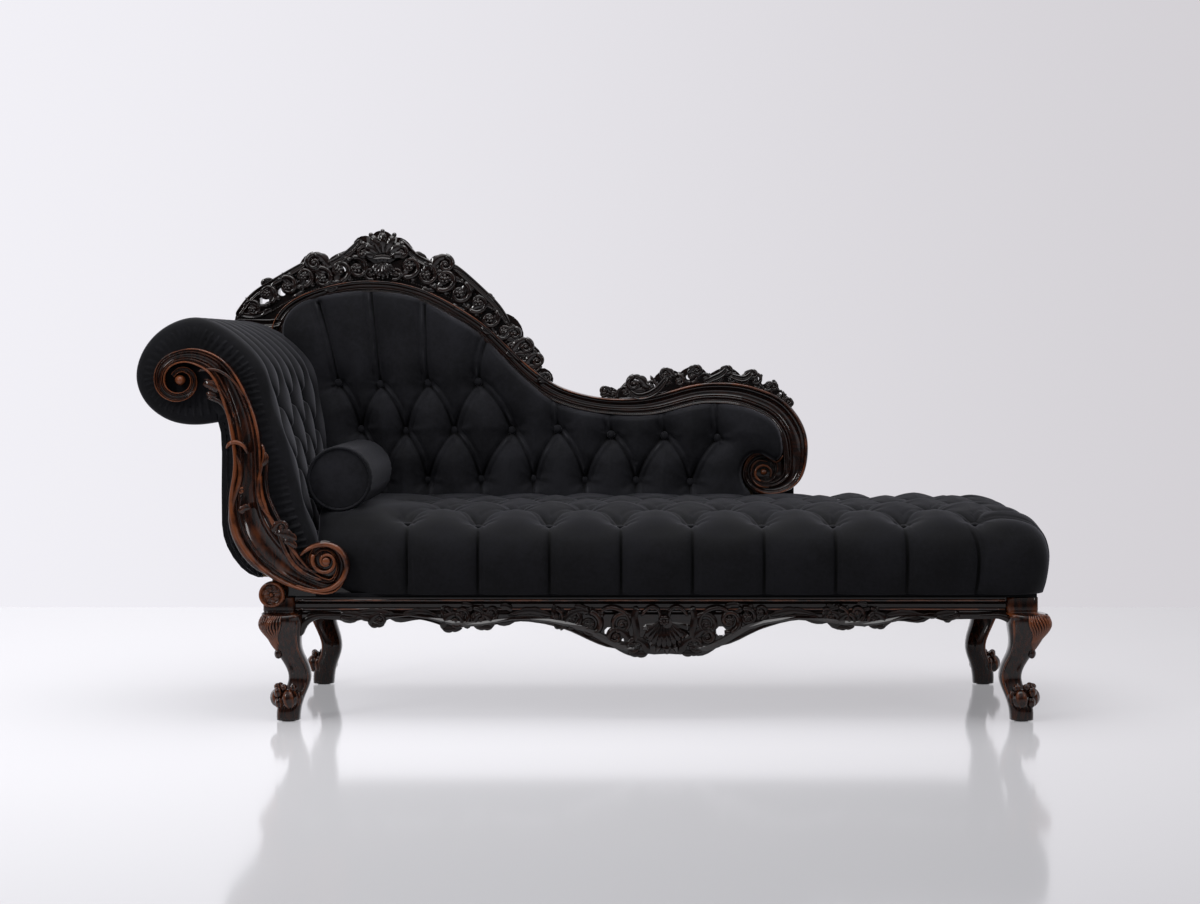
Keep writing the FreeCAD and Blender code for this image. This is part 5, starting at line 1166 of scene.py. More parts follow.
APRON_TWIGS = [
    [(340, 613, 0), (360, 616, 0), (380, 624, 0)], [(398, 617, 0), (378, 612, 0), (354, 614, 0)],
    [(402, 615, 0), (422, 612, 0), (440, 618, 0)], [(552, 616, 0), (530, 611, 0), (508, 616, 0)],
    [(770, 616, 0), (792, 611, 0), (818, 616, 0)], [(886, 616, 0), (904, 613, 0), (928, 617, 0)],
    [(958, 613, 0), (944, 614, 0), (928, 618, 0)], [(500, 608, 0), (506, 606, 0), (512, 612, 0)],
]
APRON_BRACKETS = [
    [(345, 616, 4.0), (330, 615.5, 5.0), (317, 616, 7.0), (307, 620, 9.0), (302, 627, 8.0), (301, 636, 4.0)],
    [(978, 616, 4.0), (990, 615.5, 5.0), (1001, 616, 7.0), (1011, 620, 9.0), (1016, 627, 8.0),
     (1017, 636, 4.0)],
]
APRON_MIDDLE = 664.5
APRON_COLUMNS = [
    [(637, 607, 6.0), (634.5, 618, 7.0), (636.5, 630, 7.0), (635, 642, 6.0)],
]
APRON_ARCHES = [
    [(641, 616, 3.0), (646, 610, 4.0), (653, 607, 4.0), (659, 611, 4.0), (660, 618, 3.0)],
    [(600, 612, 3.0), (608, 608, 4.5), (618, 609, 5.0), (627, 615, 4.5), (629, 624, 4.0), (624, 632, 3.0)],
]
APRON_KNOBS = [(380, 620, 6, 1), (456, 622, 8, 1), (481, 621, 7, -1), (634, 647, 8, -1), (695, 646, 8, 1),
               (849, 621, 7, 1), (874, 620, 7, -1), (615, 637, 8, -1), (707, 637, 8, 1), (831, 617, 5, -1)]


def make_crest_carving(material):
    """Scrollwork, smooth outer bands, a row of beads, knobs and a plume over a tie, raised on the crest."""
    y = CREST_FACE
    piece = Piece()
    rinceau(piece, seen(CREST_CELLS, y), y)
    rinceau(piece, seen(CREST_RIGHT_CELLS, y), y, -1)
    for edge in CREST_EDGES:
        ribbon(piece, seen(edge, y), y, CHANNEL_PROFILE, 0.9, 0.004, 0.8, 0.06)
    for bead in spline(seen(CREST_BEADS, y), 0.0062):
        dome(piece, *bead, y - 0.001, 0.0026, 0.0026, 0.5, 6, 2)
    for x, z, radius, side in seen(CREST_KNOBS, y):
        knob(piece, x, z, y - 0.002, radius, side)
    x, z = seen([(383, 262)], y)[0]
    fan(piece, x, z + 0.008, y - 0.009, 0.048, 1, 0.36, 7, 0.019, 1.3, 1.30)
    for side in (-1, 1):
        curl(piece, x + side * 0.043, z + 0.020, y - 0.008, 0.0185, math.pi / 2 + side * 1.2,
             -side * 1.7, 0.011, 1.1, inner=0.2)
        curl(piece, x + side * 0.030, z - 0.026, y - 0.003, 0.016, -math.pi / 2 - side * 0.6,
             side * 1.4, 0.009, 0.9, inner=0.25)
    tie = [[x - 0.021, z + 0.008, 0.008], [x, z + 0.011, 0.010], [x + 0.021, z + 0.008, 0.008]]
    ribbon(piece, tie, y - 0.016, CHANNEL_PROFILE, 0.8, 0.003, 1.0, 0.1)
    fan(piece, x, z + 0.002, y - 0.006, 0.034, -1, 0.55, 7, 0.012, 1.1, 1.2)
    return piece.make("crest_carving", material, "frame")


def make_small_crest_carving(material):
    """Scrollwork, bands and knobs raised on the small cresting."""
    y = CREST_FACE
    piece = Piece()
    rinceau(piece, seen(SMALL_CELLS, y), y, reach=0.78)
    for band in SMALL_BANDS:
        ribbon(piece, seen(band, y), y - 0.003, CHANNEL_PROFILE, 1.2, 0.003, 0.6, 0.08)
    for x, z, radius, side in seen(SMALL_KNOBS, y):
        knob(piece, x, z, y - 0.002, radius, side)
    return piece.make("small_crest_carving", material, "frame")


def make_apron_carving(material):
    """Scrollwork along the apron, leafy bands, and a ribbed shell between columns and arches in its
    middle."""
    y = APRON_FACE - 0.003
    piece = Piece()
    for index, cluster in enumerate(APRON_CLUSTERS):
        rinceau(piece, seen(cluster, y), y, 1 if index < 2 else -1)
    for edge in APRON_EDGE:
        ribbon(piece, seen(edge, y), y, CHANNEL_PROFILE, 1.0, 0.004, 0.8, 0.05)
    for bracket in APRON_BRACKETS:
        ribbon(piece, seen(bracket, y + 0.004), y + 0.004, STRAND_PROFILE, 1.0, 0.003, 0.5, 0.05)
    for twig in APRON_TWIGS:
        leaf(piece, seen(twig, y), y, 0.016, 4, 0.8)
    for x, z, radius, side in seen(APRON_KNOBS, y):
        knob(piece, x, z, y - 0.003, radius, side)
    x, z = seen([(664, 618)], y)[0]
    fan(piece, x, z, y - 0.004, 0.055, -1, 0.62, 9, 0.0135, 1.4, 1.14)
    rosette(piece, x, z - 0.004, y - 0.012, 0.011, 7)
    for column in both_sides(APRON_COLUMNS):
        ribbon(piece, seen(column, y), y - 0.004, LEAF_PROFILE, 1.0, 0.003, 0.9, 0.06)
        foot = seen(column, y)[-1]
        fan(piece, foot[0], foot[1], y - 0.006, 0.014, -1, 0.45, 5, 0.0085, 1.2, 1.2)
    for arch in both_sides(APRON_ARCHES):
        ribbon(piece, seen(arch, y), y - 0.004, STRAND_PROFILE, 1.0, 0.003, 0.9, 0.06)
    for side in (-1, 1):
        curl(piece, x + side * 0.088, z - 0.014, y - 0.003, 0.026, math.pi / 2 + side * 0.9,
             -side * 1.6, 0.012, 0.9, inner=0.2)
        curl(piece, x + side * 0.060, z - 0.052, y - 0.003, 0.013, -math.pi / 2,
             side * 1.5, 0.008, 0.9, inner=0.25)
    return piece.make("apron_carving", material, "frame")


def make_rail_beads(material):
    """Fine mouldings on the front rail: half round beads along it."""
    piece = Piece()
    for height, width in ((0.2525, 0.0055), (0.2340, 0.0045)):
        line = [[x, height, width] for x in (-0.620, -0.2, 0.4, 0.851)]
        ribbon(piece, line, APRON_FACE - 0.0005, ROUND_PROFILE, 0.8, 0.02)
    return piece.make("rail_beads", material, "frame")


def both_sides(lines):
    """Lines of the photograph with their mirror images about the apron's middle."""
    return [[(x if side else 2 * APRON_MIDDLE - x, z, width) for x, z, width in line] for line in lines
            for side in (1, 0)]


LEG_SHARES = [
    (0.000, 0.00, 0.52), (0.100, 0.02, 0.54), (0.235, 0.20, 0.52), (0.400, 0.40, 0.51), (0.560, 0.20, 0.56),
    (0.650, 0.03, 0.60), (0.750, -0.10, 0.70), (0.860, -0.18, 0.86), (0.945, -0.20, 0.93),
    (1.000, -0.20, 0.88),
]
FOOT_X = (-0.638, 0.888)
FOOT_Y = 0.280
BLOCK_X = (-0.656, 0.8875)
BLOCK_Y = 0.266

# The toe's ovals: angle from the leg's corner, height, half width, half height, way forward. All but the
# middle ones stand on both sides.
TOE_OVALS = [
    (0.66, 0.0480, 0.0170, 0.0205, 0.0300), (0.00, 0.0620, 0.0095, 0.0115, 0.0380),
    (0.34, 0.0720, 0.0070, 0.0070, 0.0340), (0.95, 0.0700, 0.0075, 0.0080, 0.0280),
    (1.40, 0.0480, 0.0080, 0.0160, 0.0240), (0.00, 0.0400, 0.0090, 0.0120, 0.0360),
]

# Heights and half widths of the collar and the square block over the leg.
LEG_BLOCK = [
    (0.2245, 0.0375), (0.2275, 0.0330), (0.2300, 0.0338), (0.2325, 0.0340), (0.2570, 0.0340),
    (0.2578, 0.0335), (0.2579, 0.0170), (0.2995, 0.0170),
]
LEG_TOP = 0.2235
LEG_POWER = 2.9
BLOCK_POWER = 7.0
BOSS_PROFILE = [
    (0.0, -0.4), (0.94, -0.4), (1.0, 0.2), (0.97, 0.66), (0.88, 0.86), (0.78, 0.70), (0.70, 0.42),
    (0.40, 0.40), (0.0, 0.44),
]
KNEE_SPREAD = 0.88
KNEE_TOP = 0.2235
KNEE_TIP = 0.140


def leg_sections(end, side):
    """Middle points and half widths of one leg from the floor up: the sweep's and width's splines over the
    height, then a collar and the square block."""
    line = spline(np.array(LEG_SHARES), count=60)
    sweep_out = -line[:, 1] * 0.052
    foot_x, block_x = (FOOT_X[0], BLOCK_X[0]) if end < 0 else (FOOT_X[1], BLOCK_X[1])
    points = np.stack([foot_x + end * sweep_out, side * (FOOT_Y + sweep_out), 0.003 + line[:, 0] * 0.220], 1)
    above = np.array(LEG_BLOCK)
    tops = np.stack([np.full(len(above), block_x), np.full(len(above), side * BLOCK_Y), above[:, 0]], 1)
    return np.concatenate([points, tops]), np.concatenate([line[:, 2] * 0.046, above[:, 1]])


def superellipse(angles, power):
    """The reach of a rounded square of half width one, squarer as the power grows."""
    return (np.abs(np.cos(angles)) ** power + np.abs(np.sin(angles)) ** power) ** (-1 / power)


def leg_surface(points, half, heights, angles):
    """Points of the leg's surface at heights and angles about its line, and the ways outward there."""
    low = points[:, 2] < LEG_TOP
    middle = np.stack([np.interp(heights, points[low, 2], points[low, axis]) for axis in (0, 1)] + [heights],
                      1)
    reach = np.interp(heights, points[low, 2], half[low]) * superellipse(angles, LEG_POWER)
    ways = np.stack([np.cos(angles), np.sin(angles), np.zeros(len(angles))], 1)
    return middle + ways * reach[:, None], ways


def strand_on(piece, path, ways, widths, lift, rub=1.0):
    """A raised strand along a path on a turned surface, standing out along the surface's own ways."""
    across = unit(np.cross(np.gradient(path, axis=0), ways))
    sweep(piece, path, across, ways, STRAND_PROFILE, widths, widths * lift, rub)


def make_leg(name, end, side, material):
    """A cabriole leg: superellipses, squarer towards the block, stacked along the leg's line, with fine ribs
    over the knee that gather to a drop, a ridge down each inner edge, and ovals and small buds at the toe."""
    points, half = leg_sections(end, side)
    turn = np.linspace(0, 2 * np.pi, 48, endpoint=False)
    ring = superellipse(turn, np.where(points[:, 2] > LEG_TOP - 0.0015, BLOCK_POWER, LEG_POWER)[:, None])
    reach = half[:, None] * ring
    grid = np.stack([points[:, :1] + reach * np.cos(turn), points[:, 1:2] + reach * np.sin(turn),
                     np.broadcast_to(points[:, 2:], reach.shape)], -1)
    worn = (0.20 + 0.5 * np.clip((ring - 1.09) / 0.08, 0, 1)).ravel()
    piece = Piece()
    piece.add_rings(grid, grid[0].mean(0), grid[-1].mean(0), np.concatenate([worn, [0, 0]]))
    corner = math.atan2(side, end)
    share = np.linspace(0, 1, 40)
    for spread in np.linspace(-KNEE_SPREAD, KNEE_SPREAD, 15):
        long = 1.0 - 0.22 * (abs(spread) / KNEE_SPREAD) ** 2
        heights = KNEE_TOP - (KNEE_TOP - KNEE_TIP) * long * share
        angles = corner + spread * (1 - 0.82 * (share * long) ** 1.2) + 0.05 * np.sin(share * 9 + spread * 5)
        path, ways = leg_surface(points, half, heights, angles)
        swell = 0.0075 * np.sin(np.pi * np.clip(share * 1.5, 0, 1)) ** 1.5 * (1 - 0.5 * abs(spread) / 1.28)
        widths = 0.0029 * (1 - 0.30 * share) * np.clip(np.sin(np.pi * (0.04 + 0.96 * share)) * 3, 0.05, 1)
        strand_on(piece, path + ways * swell[:, None], ways, widths, 1.1)
    drop, way = leg_surface(points, half, np.array([KNEE_TIP + 0.002]), np.array([corner]))
    oval(piece, drop[0] + way[0] * 0.001, 0.0080, 0.0110, 0.4)
    heights = np.linspace(0.216, 0.030, 60)
    widths = 0.0034 * np.clip(np.sin(np.pi * np.linspace(0.02, 0.98, 60)) * 4, 0.05, 1)
    for inner in (corner + math.pi / 2 * 0.98, corner - math.pi / 2 * 0.98):
        path, ways = leg_surface(points, half, heights, np.full(60, inner))
        strand_on(piece, path - ways * 0.001, ways, widths, 0.8, 0.8)
    toe = points[np.argmin(np.abs(points[:, 2] - 0.050))]
    for turned, height, wide, tall, forward in TOE_OVALS:
        for angle in sorted({corner + turned, corner - turned}):
            way = np.array([math.cos(angle), math.sin(angle), 0.0])
            oval(piece, np.array([toe[0], toe[1], height]) + way * forward, wide, tall, 0.8)
    return piece.make(name, material, "frame", [name.replace("_carved", "")])


def oval(piece, centre, wide, tall, rub):
    """A carved bud: an ellipsoid with six shallow lobes round it."""
    turn = np.linspace(0, 2 * np.pi, 24, endpoint=False)
    rise = np.linspace(-np.pi / 2, np.pi / 2, 13)[1:-1, None]
    lobes = np.cos(6 * turn + 1.5 * rise)
    reach = wide * np.cos(rise) * (1 + 0.07 * lobes)
    grid = np.stack([centre[0] + reach * np.cos(turn), centre[1] + reach * np.sin(turn),
                     np.broadcast_to(centre[2] + tall * np.sin(rise), reach.shape)], -1)
    tip = np.array([0.0, 0.0, tall])
    piece.add_rings(grid, centre - tip, centre + tip,
                    np.concatenate([(0.5 + 0.5 * lobes).ravel(), [0.5, 0.5]]) * rub)


def make_boss(material):
    """The turned boss over the front leg: a dished ring with petals round a button."""
    low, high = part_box("arm_boss")
    x, z, radius = (low[0] + high[0]) / 2, (low[2] + high[2]) / 2, (high[0] - low[0]) / 2
    depth = high[1] - low[1]
    turn = np.linspace(0, 2 * np.pi, 48, endpoint=False)
    line = spline(np.array(BOSS_PROFILE), count=26)
    reach = np.clip(line[:, :1], 0.0, 1.0) * radius
    forward = np.broadcast_to(high[1] - line[:, 1:2] * depth, (len(line), len(turn)))
    grid = np.stack([x + reach * np.cos(turn), forward, z + reach * np.sin(turn)], -1)
    worn = np.repeat(0.25 + np.clip(line[1:-1, 1], 0, 1), len(turn))
    piece = Piece()
    piece.add_rings(grid[1:-1], grid[0].mean(0), grid[-1].mean(0), np.concatenate([worn, [0, 0]]))
    dish_y = high[1] - depth * 0.42
    middle = np.array([x, z])
    for angle in 0.2 + np.arange(8) * math.pi / 4:
        petal = [middle + way_at(angle) * radius * share for share in (0.12, 0.42, 0.72)]
        leaf(piece, petal, dish_y, radius * 0.42, 1, 0.8, 1.9)
    dome(piece, x, z, dish_y, radius * 0.20, depth * 0.45, 1.5)
    return piece.make("boss_carved", material, "frame", ["arm_boss"])


ARM_STRANDS = [
    [0.6, (233, 452, 4.0), (239, 462, 5.0), (240.5, 474, 5.5), (238, 487, 6.0), (233.5, 500, 6.0),
     (231.5, 514, 6.5), (233, 528, 7.0), (238.5, 543, 7.0), (247.5, 557, 7.0), (259, 568, 6.0),
     (271, 574.5, 4.0)],
    [0.2, (242, 494, 3.0), (239.5, 505, 3.5), (241, 520, 4.0), (246, 535, 4.0), (254, 549, 4.0),
     (264, 560, 3.5), (275, 568, 3.0)],
    [0.5, (207, 397.5, 3.5), (214, 399, 5.0), (221.5, 403, 5.0), (227, 411.5, 5.0), (230.5, 423, 5.0),
     (232.5, 436, 5.0), (235, 448, 4.0)],
    [0.7, (204, 379, 1.5), (212, 381, 2.0), (219, 387, 2.5), (225.5, 396, 2.5), (230.5, 406, 2.5),
     (234, 418, 2.0)],
    [0.5, (198, 371, 2.0), (206, 369.5, 3.5), (216, 370, 4.0), (226, 375, 4.0), (236, 384, 3.5),
     (244, 396, 2.5)],
    [0.8, (262, 444, 2.5), (264, 455, 3.5), (261, 470, 4.0), (258.5, 484, 4.5), (259, 498, 4.5),
     (264.5, 510, 4.5), (272, 520, 4.0), (278, 530, 3.0)],
    [0.3, (268, 460, 2.5), (266, 476, 3.5), (267, 490, 3.5), (271, 503, 3.5), (277, 516, 3.5),
     (283, 527, 3.0)],
    [0.9, (278, 532, 4.0), (282, 543, 5.0), (288, 556, 5.5), (297, 567.5, 5.5), (309, 576, 5.0),
     (322, 580, 3.5)],
    [0.6, (289, 546, 3.0), (293, 556, 3.5), (300, 565, 3.5), (310, 570.5, 3.0), (319, 572, 2.5)],
    [0.9, (300, 556, 3.0), (308, 549, 4.5), (319, 545, 5.5), (331, 545.5, 6.0), (341, 552, 6.0),
     (346, 562, 6.0), (345.5, 573, 6.0), (338, 584, 6.0), (326, 590, 5.5), (311, 590, 4.0), (296, 585, 3.0)],
]
HOOK_LEAF = [(248, 454, 3.0), (244.5, 446.5, 4.5), (238, 442.5, 5.0), (231, 443, 4.5), (226.5, 448.5, 2.5)]
SCROLL_LEAVES = [
    [(219, 392), (212, 385), (203, 384), 11, 3], [(217, 398), (212, 395), (206, 393), 7, 2],
    [(240, 514), (244, 508), (251, 508), 8, 2], [(276, 533), (286, 534), (297, 540), 11, 3],
    [(283, 541), (290, 542), (297, 548), 8, 2], [(262, 466), (266, 459), (265, 452), 6, 2],
]


def make_arm_strands(material):
    """Strands, a hooked leaf, a spiral in the lower volute, small curls and leaves, as seen on the scroll's
    face."""
    y = ARM_FACE - 0.0105
    pixel = (y - CAMERA_PLACE[1]) / FOCAL_PIXELS
    piece = Piece()
    for rub, *line in ARM_STRANDS:
        ribbon(piece, seen(line, y), y, STRAND_PROFILE, 1.15, 0.003, rub, 0.05)
    ribbon(piece, seen(HOOK_LEAF, y), y - 0.005, STRAND_PROFILE, 1.3, 0.002, 1.0, 0.15)
    eye = seen([(326, 561.6, 1)], y)[0]
    curl(piece, eye[0], eye[1], y, 14.5 * pixel, math.pi - 0.5, 1.45, 5.0 * pixel, 1.3, 1.0, 0.26,
         STRAND_PROFILE)
    for x, z, radius, turns in seen([(241.5, 491, 3.4, 1.2), (247, 506, 2.6, -1.1)], y):
        curl(piece, x, z, y - 0.001, radius, 1.0, turns, radius * 0.8, 1.0, 0.8, 0.3, STRAND_PROFILE)
    tip = seen([(282.5, 527.5, 5.5)], y)[0]
    knob(piece, tip[0], tip[1], y - 0.003, tip[2], 1)
    for first, second, third, width, lobes in SCROLL_LEAVES:
        leaf(piece, seen([first, second, third], y), y - 0.002, width * pixel, lobes, 0.9, 1.0)
    return piece.make("arm_strands", material, "frame")


def node_group(name, inputs, outputs):
    """An empty shader group with the named sockets, and its two ends."""
    group = bpy.data.node_groups.new(name, "ShaderNodeTree")
    for label, kind, value in inputs:
        socket = group.interface.new_socket(label, in_out="INPUT", socket_type=kind)
        if value is not None:
            socket.default_value = value
    for label, kind in outputs:
        group.interface.new_socket(label, in_out="OUTPUT", socket_type=kind)
    return group, group.nodes.new("NodeGroupInput"), group.nodes.new("NodeGroupOutput")


def add_noise(tree, vector, scale, detail=4.0, roughness=0.55):
    """Clouds of a scale, from 0 to 1."""
    noise = tree.nodes.new("ShaderNodeTexNoise")
    noise.inputs["Scale"].default_value = scale
    noise.inputs["Detail"].default_value = detail
    noise.inputs["Roughness"].default_value = roughness
    tree.links.new(vector, noise.inputs["Vector"])
    return noise.outputs["Fac"]


def add_ramp(tree, value, low, high):
    """A value eased from 0 at low to 1 at high."""
    ramp = tree.nodes.new("ShaderNodeMapRange")
    ramp.interpolation_type = "SMOOTHSTEP"
    ramp.inputs["From Min"].default_value = low
    ramp.inputs["From Max"].default_value = high
    tree.links.new(value, ramp.inputs["Value"])
    return ramp.outputs["Result"]


def add_math(tree, kind, first, second):
    """A sum, a product or the like of two sockets or numbers."""
    node = tree.nodes.new("ShaderNodeMath")
    node.operation = kind
    for index, value in enumerate((first, second)):
        if isinstance(value, (int, float)):
            node.inputs[index].default_value = value
        else:
            tree.links.new(value, node.inputs[index])
    return node.outputs[0]


def add_mix(tree, share, first, second):
    """A colour between two, each a socket or four numbers, by a share."""
    node = tree.nodes.new("ShaderNodeMix")
    node.data_type = "RGBA"
    tree.links.new(share, node.inputs["Factor"])
    for socket, value in ((node.inputs[6], first), (node.inputs[7], second)):
        if isinstance(value, tuple):
            socket.default_value = value
        else:
            tree.links.new(value, socket)
    return node.outputs[2]


def rubbed_group():
    """Lacquer that is rubbed through on raised edges: out come its colour, its roughness and its height."""
    group, start, end = node_group(
        "rubbed lacquer",
        [("Vector", "NodeSocketVector", None), ("Wear and painted light", "NodeSocketFloat", 0.0),
         ("Amount", "NodeSocketFloat", 0.5),
         ("Lacquer", "NodeSocketColor", (0.012, 0.008, 0.007, 1)),
         ("Wood", "NodeSocketColor", (0.24, 0.08, 0.03, 1)),
         ("Ground", "NodeSocketColor", (0.05, 0.02, 0.012, 1)),
         ("Grain", "NodeSocketVector", (14.0, 60.0, 60.0))],
        [("Color", "NodeSocketColor"), ("Roughness", "NodeSocketFloat"), ("Height", "NodeSocketFloat")],
    )
    vector = start.outputs["Vector"]
    patchy = add_noise(group, vector, 16.0, 3.0)
    fine = add_noise(group, vector, 150.0, 3.0)
    stretched = group.nodes.new("ShaderNodeMapping")
    group.links.new(start.outputs["Grain"], stretched.inputs["Scale"])
    group.links.new(vector, stretched.inputs["Vector"])
    grain = add_noise(group, stretched.outputs["Vector"], 3.0, 5.0)
    patch = add_ramp(group, patchy, 0.30, 0.66)
    rubbed = add_math(group, "MULTIPLY", start.outputs["Wear and painted light"], start.outputs["Amount"])
    rubbed = add_math(group, "MULTIPLY", rubbed, add_math(group, "ADD", patch, 0.35))
    rubbed = add_ramp(group, add_math(group, "ADD", rubbed, add_math(group, "MULTIPLY", fine, 0.12)), 0.24,
                      0.92)
    ground_share = add_math(group, "MULTIPLY", add_ramp(group, grain, 0.35, 0.75), start.outputs["Amount"])
    ground = add_mix(group, ground_share, start.outputs["Lacquer"], start.outputs["Ground"])
    colour = add_mix(group, rubbed, ground, start.outputs["Wood"])
    group.links.new(colour, end.inputs["Color"])
    rough = add_math(group, "ADD", 0.11, add_math(group, "MULTIPLY", rubbed, 0.20))
    rough = add_math(group, "ADD", rough, add_math(group, "MULTIPLY", patchy, 0.08))
    group.links.new(rough, end.inputs["Roughness"])
    height = add_math(group, "ADD", add_math(group, "MULTIPLY", grain, 0.6),
                      add_math(group, "MULTIPLY", fine, 0.4))
    group.links.new(height, end.inputs["Height"])
    return group


def pile_group():
    """Velvet's pile: out come its colour, lighter and darker in patches of the nap, with a painted highlight
    on the lip of a fold and painted shade inside it, its roughness and its height."""
    group, start, end = node_group(
        "velvet pile",
        [("Vector", "NodeSocketVector", None), ("Deep", "NodeSocketColor", (0.006, 0.006, 0.007, 1)),
         ("Brushed", "NodeSocketColor", (0.016, 0.016, 0.018, 1)),
         ("Painted lip highlight", "NodeSocketColor", (0.034, 0.034, 0.038, 1)),
         ("Wear and painted light", "NodeSocketFloat", 0.0)],
        [("Color", "NodeSocketColor"), ("Roughness", "NodeSocketFloat"), ("Height", "NodeSocketFloat")],
    )
    vector = start.outputs["Vector"]
    patches = add_noise(group, vector, 9.0, 4.0, 0.6)
    pile = add_noise(group, vector, 900.0, 2.0, 0.6)
    nap = add_noise(group, vector, 120.0, 3.0, 0.6)
    share = add_ramp(group, add_math(group, "ADD", patches, add_math(group, "MULTIPLY", nap, 0.50)), 0.52,
                     0.98)
    colour = add_mix(group, share, start.outputs["Deep"], start.outputs["Brushed"])
    # Painted light: a painted highlight on fold lips, and painted shade in near black inside folds.
    lip = add_ramp(group, start.outputs["Wear and painted light"], 0.10, 1.10)
    fold = add_ramp(group, add_math(group, "MULTIPLY", start.outputs["Wear and painted light"], -1.0), 0.05, 0.90)
    colour = add_mix(group, lip, colour, start.outputs["Painted lip highlight"])
    group.links.new(add_mix(group, fold, colour, (0.0006, 0.0006, 0.0008, 1)), end.inputs["Color"])
    group.links.new(add_math(group, "ADD", 0.72, add_math(group, "MULTIPLY", share, 0.18)),
                    end.inputs["Roughness"])
    group.links.new(add_math(group, "ADD", add_math(group, "MULTIPLY", pile, 0.7),
                             add_math(group, "MULTIPLY", nap, 0.5)),
                    end.inputs["Height"])
    return group


def new_material(name):
    """A material with only its shader and output, and the object's own coordinates."""
    material = bpy.data.materials.new(name)
    material.use_nodes = True
    tree = material.node_tree
    tree.nodes.clear()
    shader = tree.nodes.new("ShaderNodeBsdfPrincipled")
    output = tree.nodes.new("ShaderNodeOutputMaterial")
    place = tree.nodes.new("ShaderNodeTexCoord")
    tree.links.new(shader.outputs[0], output.inputs[0])
    return material, tree, shader, place.outputs["Object"]


def opaque(colour, gain=1.0):
    """A colour without gaps, times a gain."""
    return (*(gain * part for part in colour), 1.0)


def dressed(name, group, settings, plain, bump, bump_distance, rub=False):
    """A material from a shared group: its colour, roughness and height go to the shader, plain values stay on
    it."""
    material, tree, shader, place = new_material(name)
    node = tree.nodes.new("ShaderNodeGroup")
    node.node_tree = group
    tree.links.new(place, node.inputs["Vector"])
    if rub:
        # The attribute brings rubbed wear to the lacquer and painted shade and highlight to the velvet.
        attribute = tree.nodes.new("ShaderNodeAttribute")
        attribute.attribute_name = "rub"
        tree.links.new(attribute.outputs["Fac"], node.inputs["Wear and painted light"])
    for label, value in settings.items():
        node.inputs[label].default_value = value
    tree.links.new(node.outputs["Color"], shader.inputs["Base Color"])
    tree.links.new(node.outputs["Roughness"], shader.inputs["Roughness"])
    bumps = tree.nodes.new("ShaderNodeBump")
    bumps.inputs["Strength"].default_value = bump
    bumps.inputs["Distance"].default_value = bump_distance
    tree.links.new(node.outputs["Height"], bumps.inputs["Height"])
    tree.links.new(bumps.outputs["Normal"], shader.inputs["Normal"])
    for label, value in plain.items():
        shader.inputs[label].default_value = value
    return material


# Finishes of the pieces inside: deep and brushed colour, the shader's own values, strength and height of the
# bump.
PLAIN_FINISHES = {
    "webbing": ((0.25, 0.18, 0.10), (0.40, 0.31, 0.19), {"Specular IOR Level": 0.1}, 0.8, 0.001),
    "dust cloth": ((0.012, 0.012, 0.012), (0.03, 0.03, 0.03), {"Specular IOR Level": 0.1}, 0.4, 0.0006),
    "seat foam": ((0.55, 0.50, 0.38), (0.66, 0.62, 0.48), {"Specular IOR Level": 0.1}, 0.8, 0.001),
    "bright steel": ((0.45, 0.45, 0.46), (0.55, 0.55, 0.56), {"Metallic": 1.0}, 0.05, 0.0002),
    "glide": ((0.02, 0.02, 0.02), (0.035, 0.035, 0.035), {"Specular IOR Level": 0.4}, 0.1, 0.0003),
}


def materials():
    """The finishes, made once."""
    if "carved dark" in bpy.data.materials:
        return bpy.data.materials
    look = bpy.context.scene.chaise_look
    rubbed, pile = rubbed_group(), pile_group()
    lacquer = {"Lacquer": opaque(look.lacquer), "Wood": opaque(look.worn_wood),
               "Ground": opaque(look.warm_ground)}
    shine = {"Coat Weight": 0.5, "Coat Roughness": 0.035, "Specular IOR Level": 0.14}
    low = {**shine, "Specular IOR Level": 0.06}
    bright = {"Coat Weight": 0.9, "Coat Roughness": 0.035, "Specular IOR Level": 0.20}
    grain = {"Grain": (55.0, 55.0, 11.0)}
    for name, amount, more, plain in (("dark", 0.22, {}, bright), ("low", 0.26, {}, low),
                                      ("edge", 0.55, {}, bright),
                                      ("warm", 0.85, grain, shine)):
        dressed("carved " + name, rubbed, {**lacquer, "Amount": amount, **more}, plain, 0.10, 0.0005, True)
    sheen = {"Sheen Roughness": 0.35, "Sheen Tint": (0.62, 0.62, 0.70, 1.0), "Specular IOR Level": 0.12}
    # Painted light: the back's and the bolster's velvet are the black velvet painted lighter, with a brighter
    # painted lip highlight, for the more light that falls on them.
    darker = {"Deep": opaque(look.velvet), "Brushed": opaque(look.velvet, 2.8)}
    painted_lighter_shades = {"Deep": opaque(look.velvet, 2.1), "Brushed": opaque(look.velvet, 4.6),
                "Painted lip highlight": (0.052, 0.052, 0.058, 1.0)}
    for name, shades, gain in (("black", darker, 1.0), ("back", painted_lighter_shades, 1.15), ("bolster", painted_lighter_shades, 0.30)):
        dressed(name + " velvet", pile, shades, {"Sheen Weight": gain * look.sheen, **sheen}, 0.35, 0.0005,
                True)
    plain_wood = {"Lacquer": (0.30, 0.19, 0.10, 1), "Ground": (0.42, 0.28, 0.15, 1), "Amount": 0.7}
    dressed("frame wood", rubbed, plain_wood, {"Specular IOR Level": 0.3}, 0.3, 0.0006)
    for name, (deep, brushed_tone_and_painted_light, plain, bump, height) in PLAIN_FINISHES.items():
        dressed(name, pile, {"Deep": opaque(deep), "Brushed": opaque(brushed_tone_and_painted_light)}, plain, bump, height)
    return bpy.data.materials


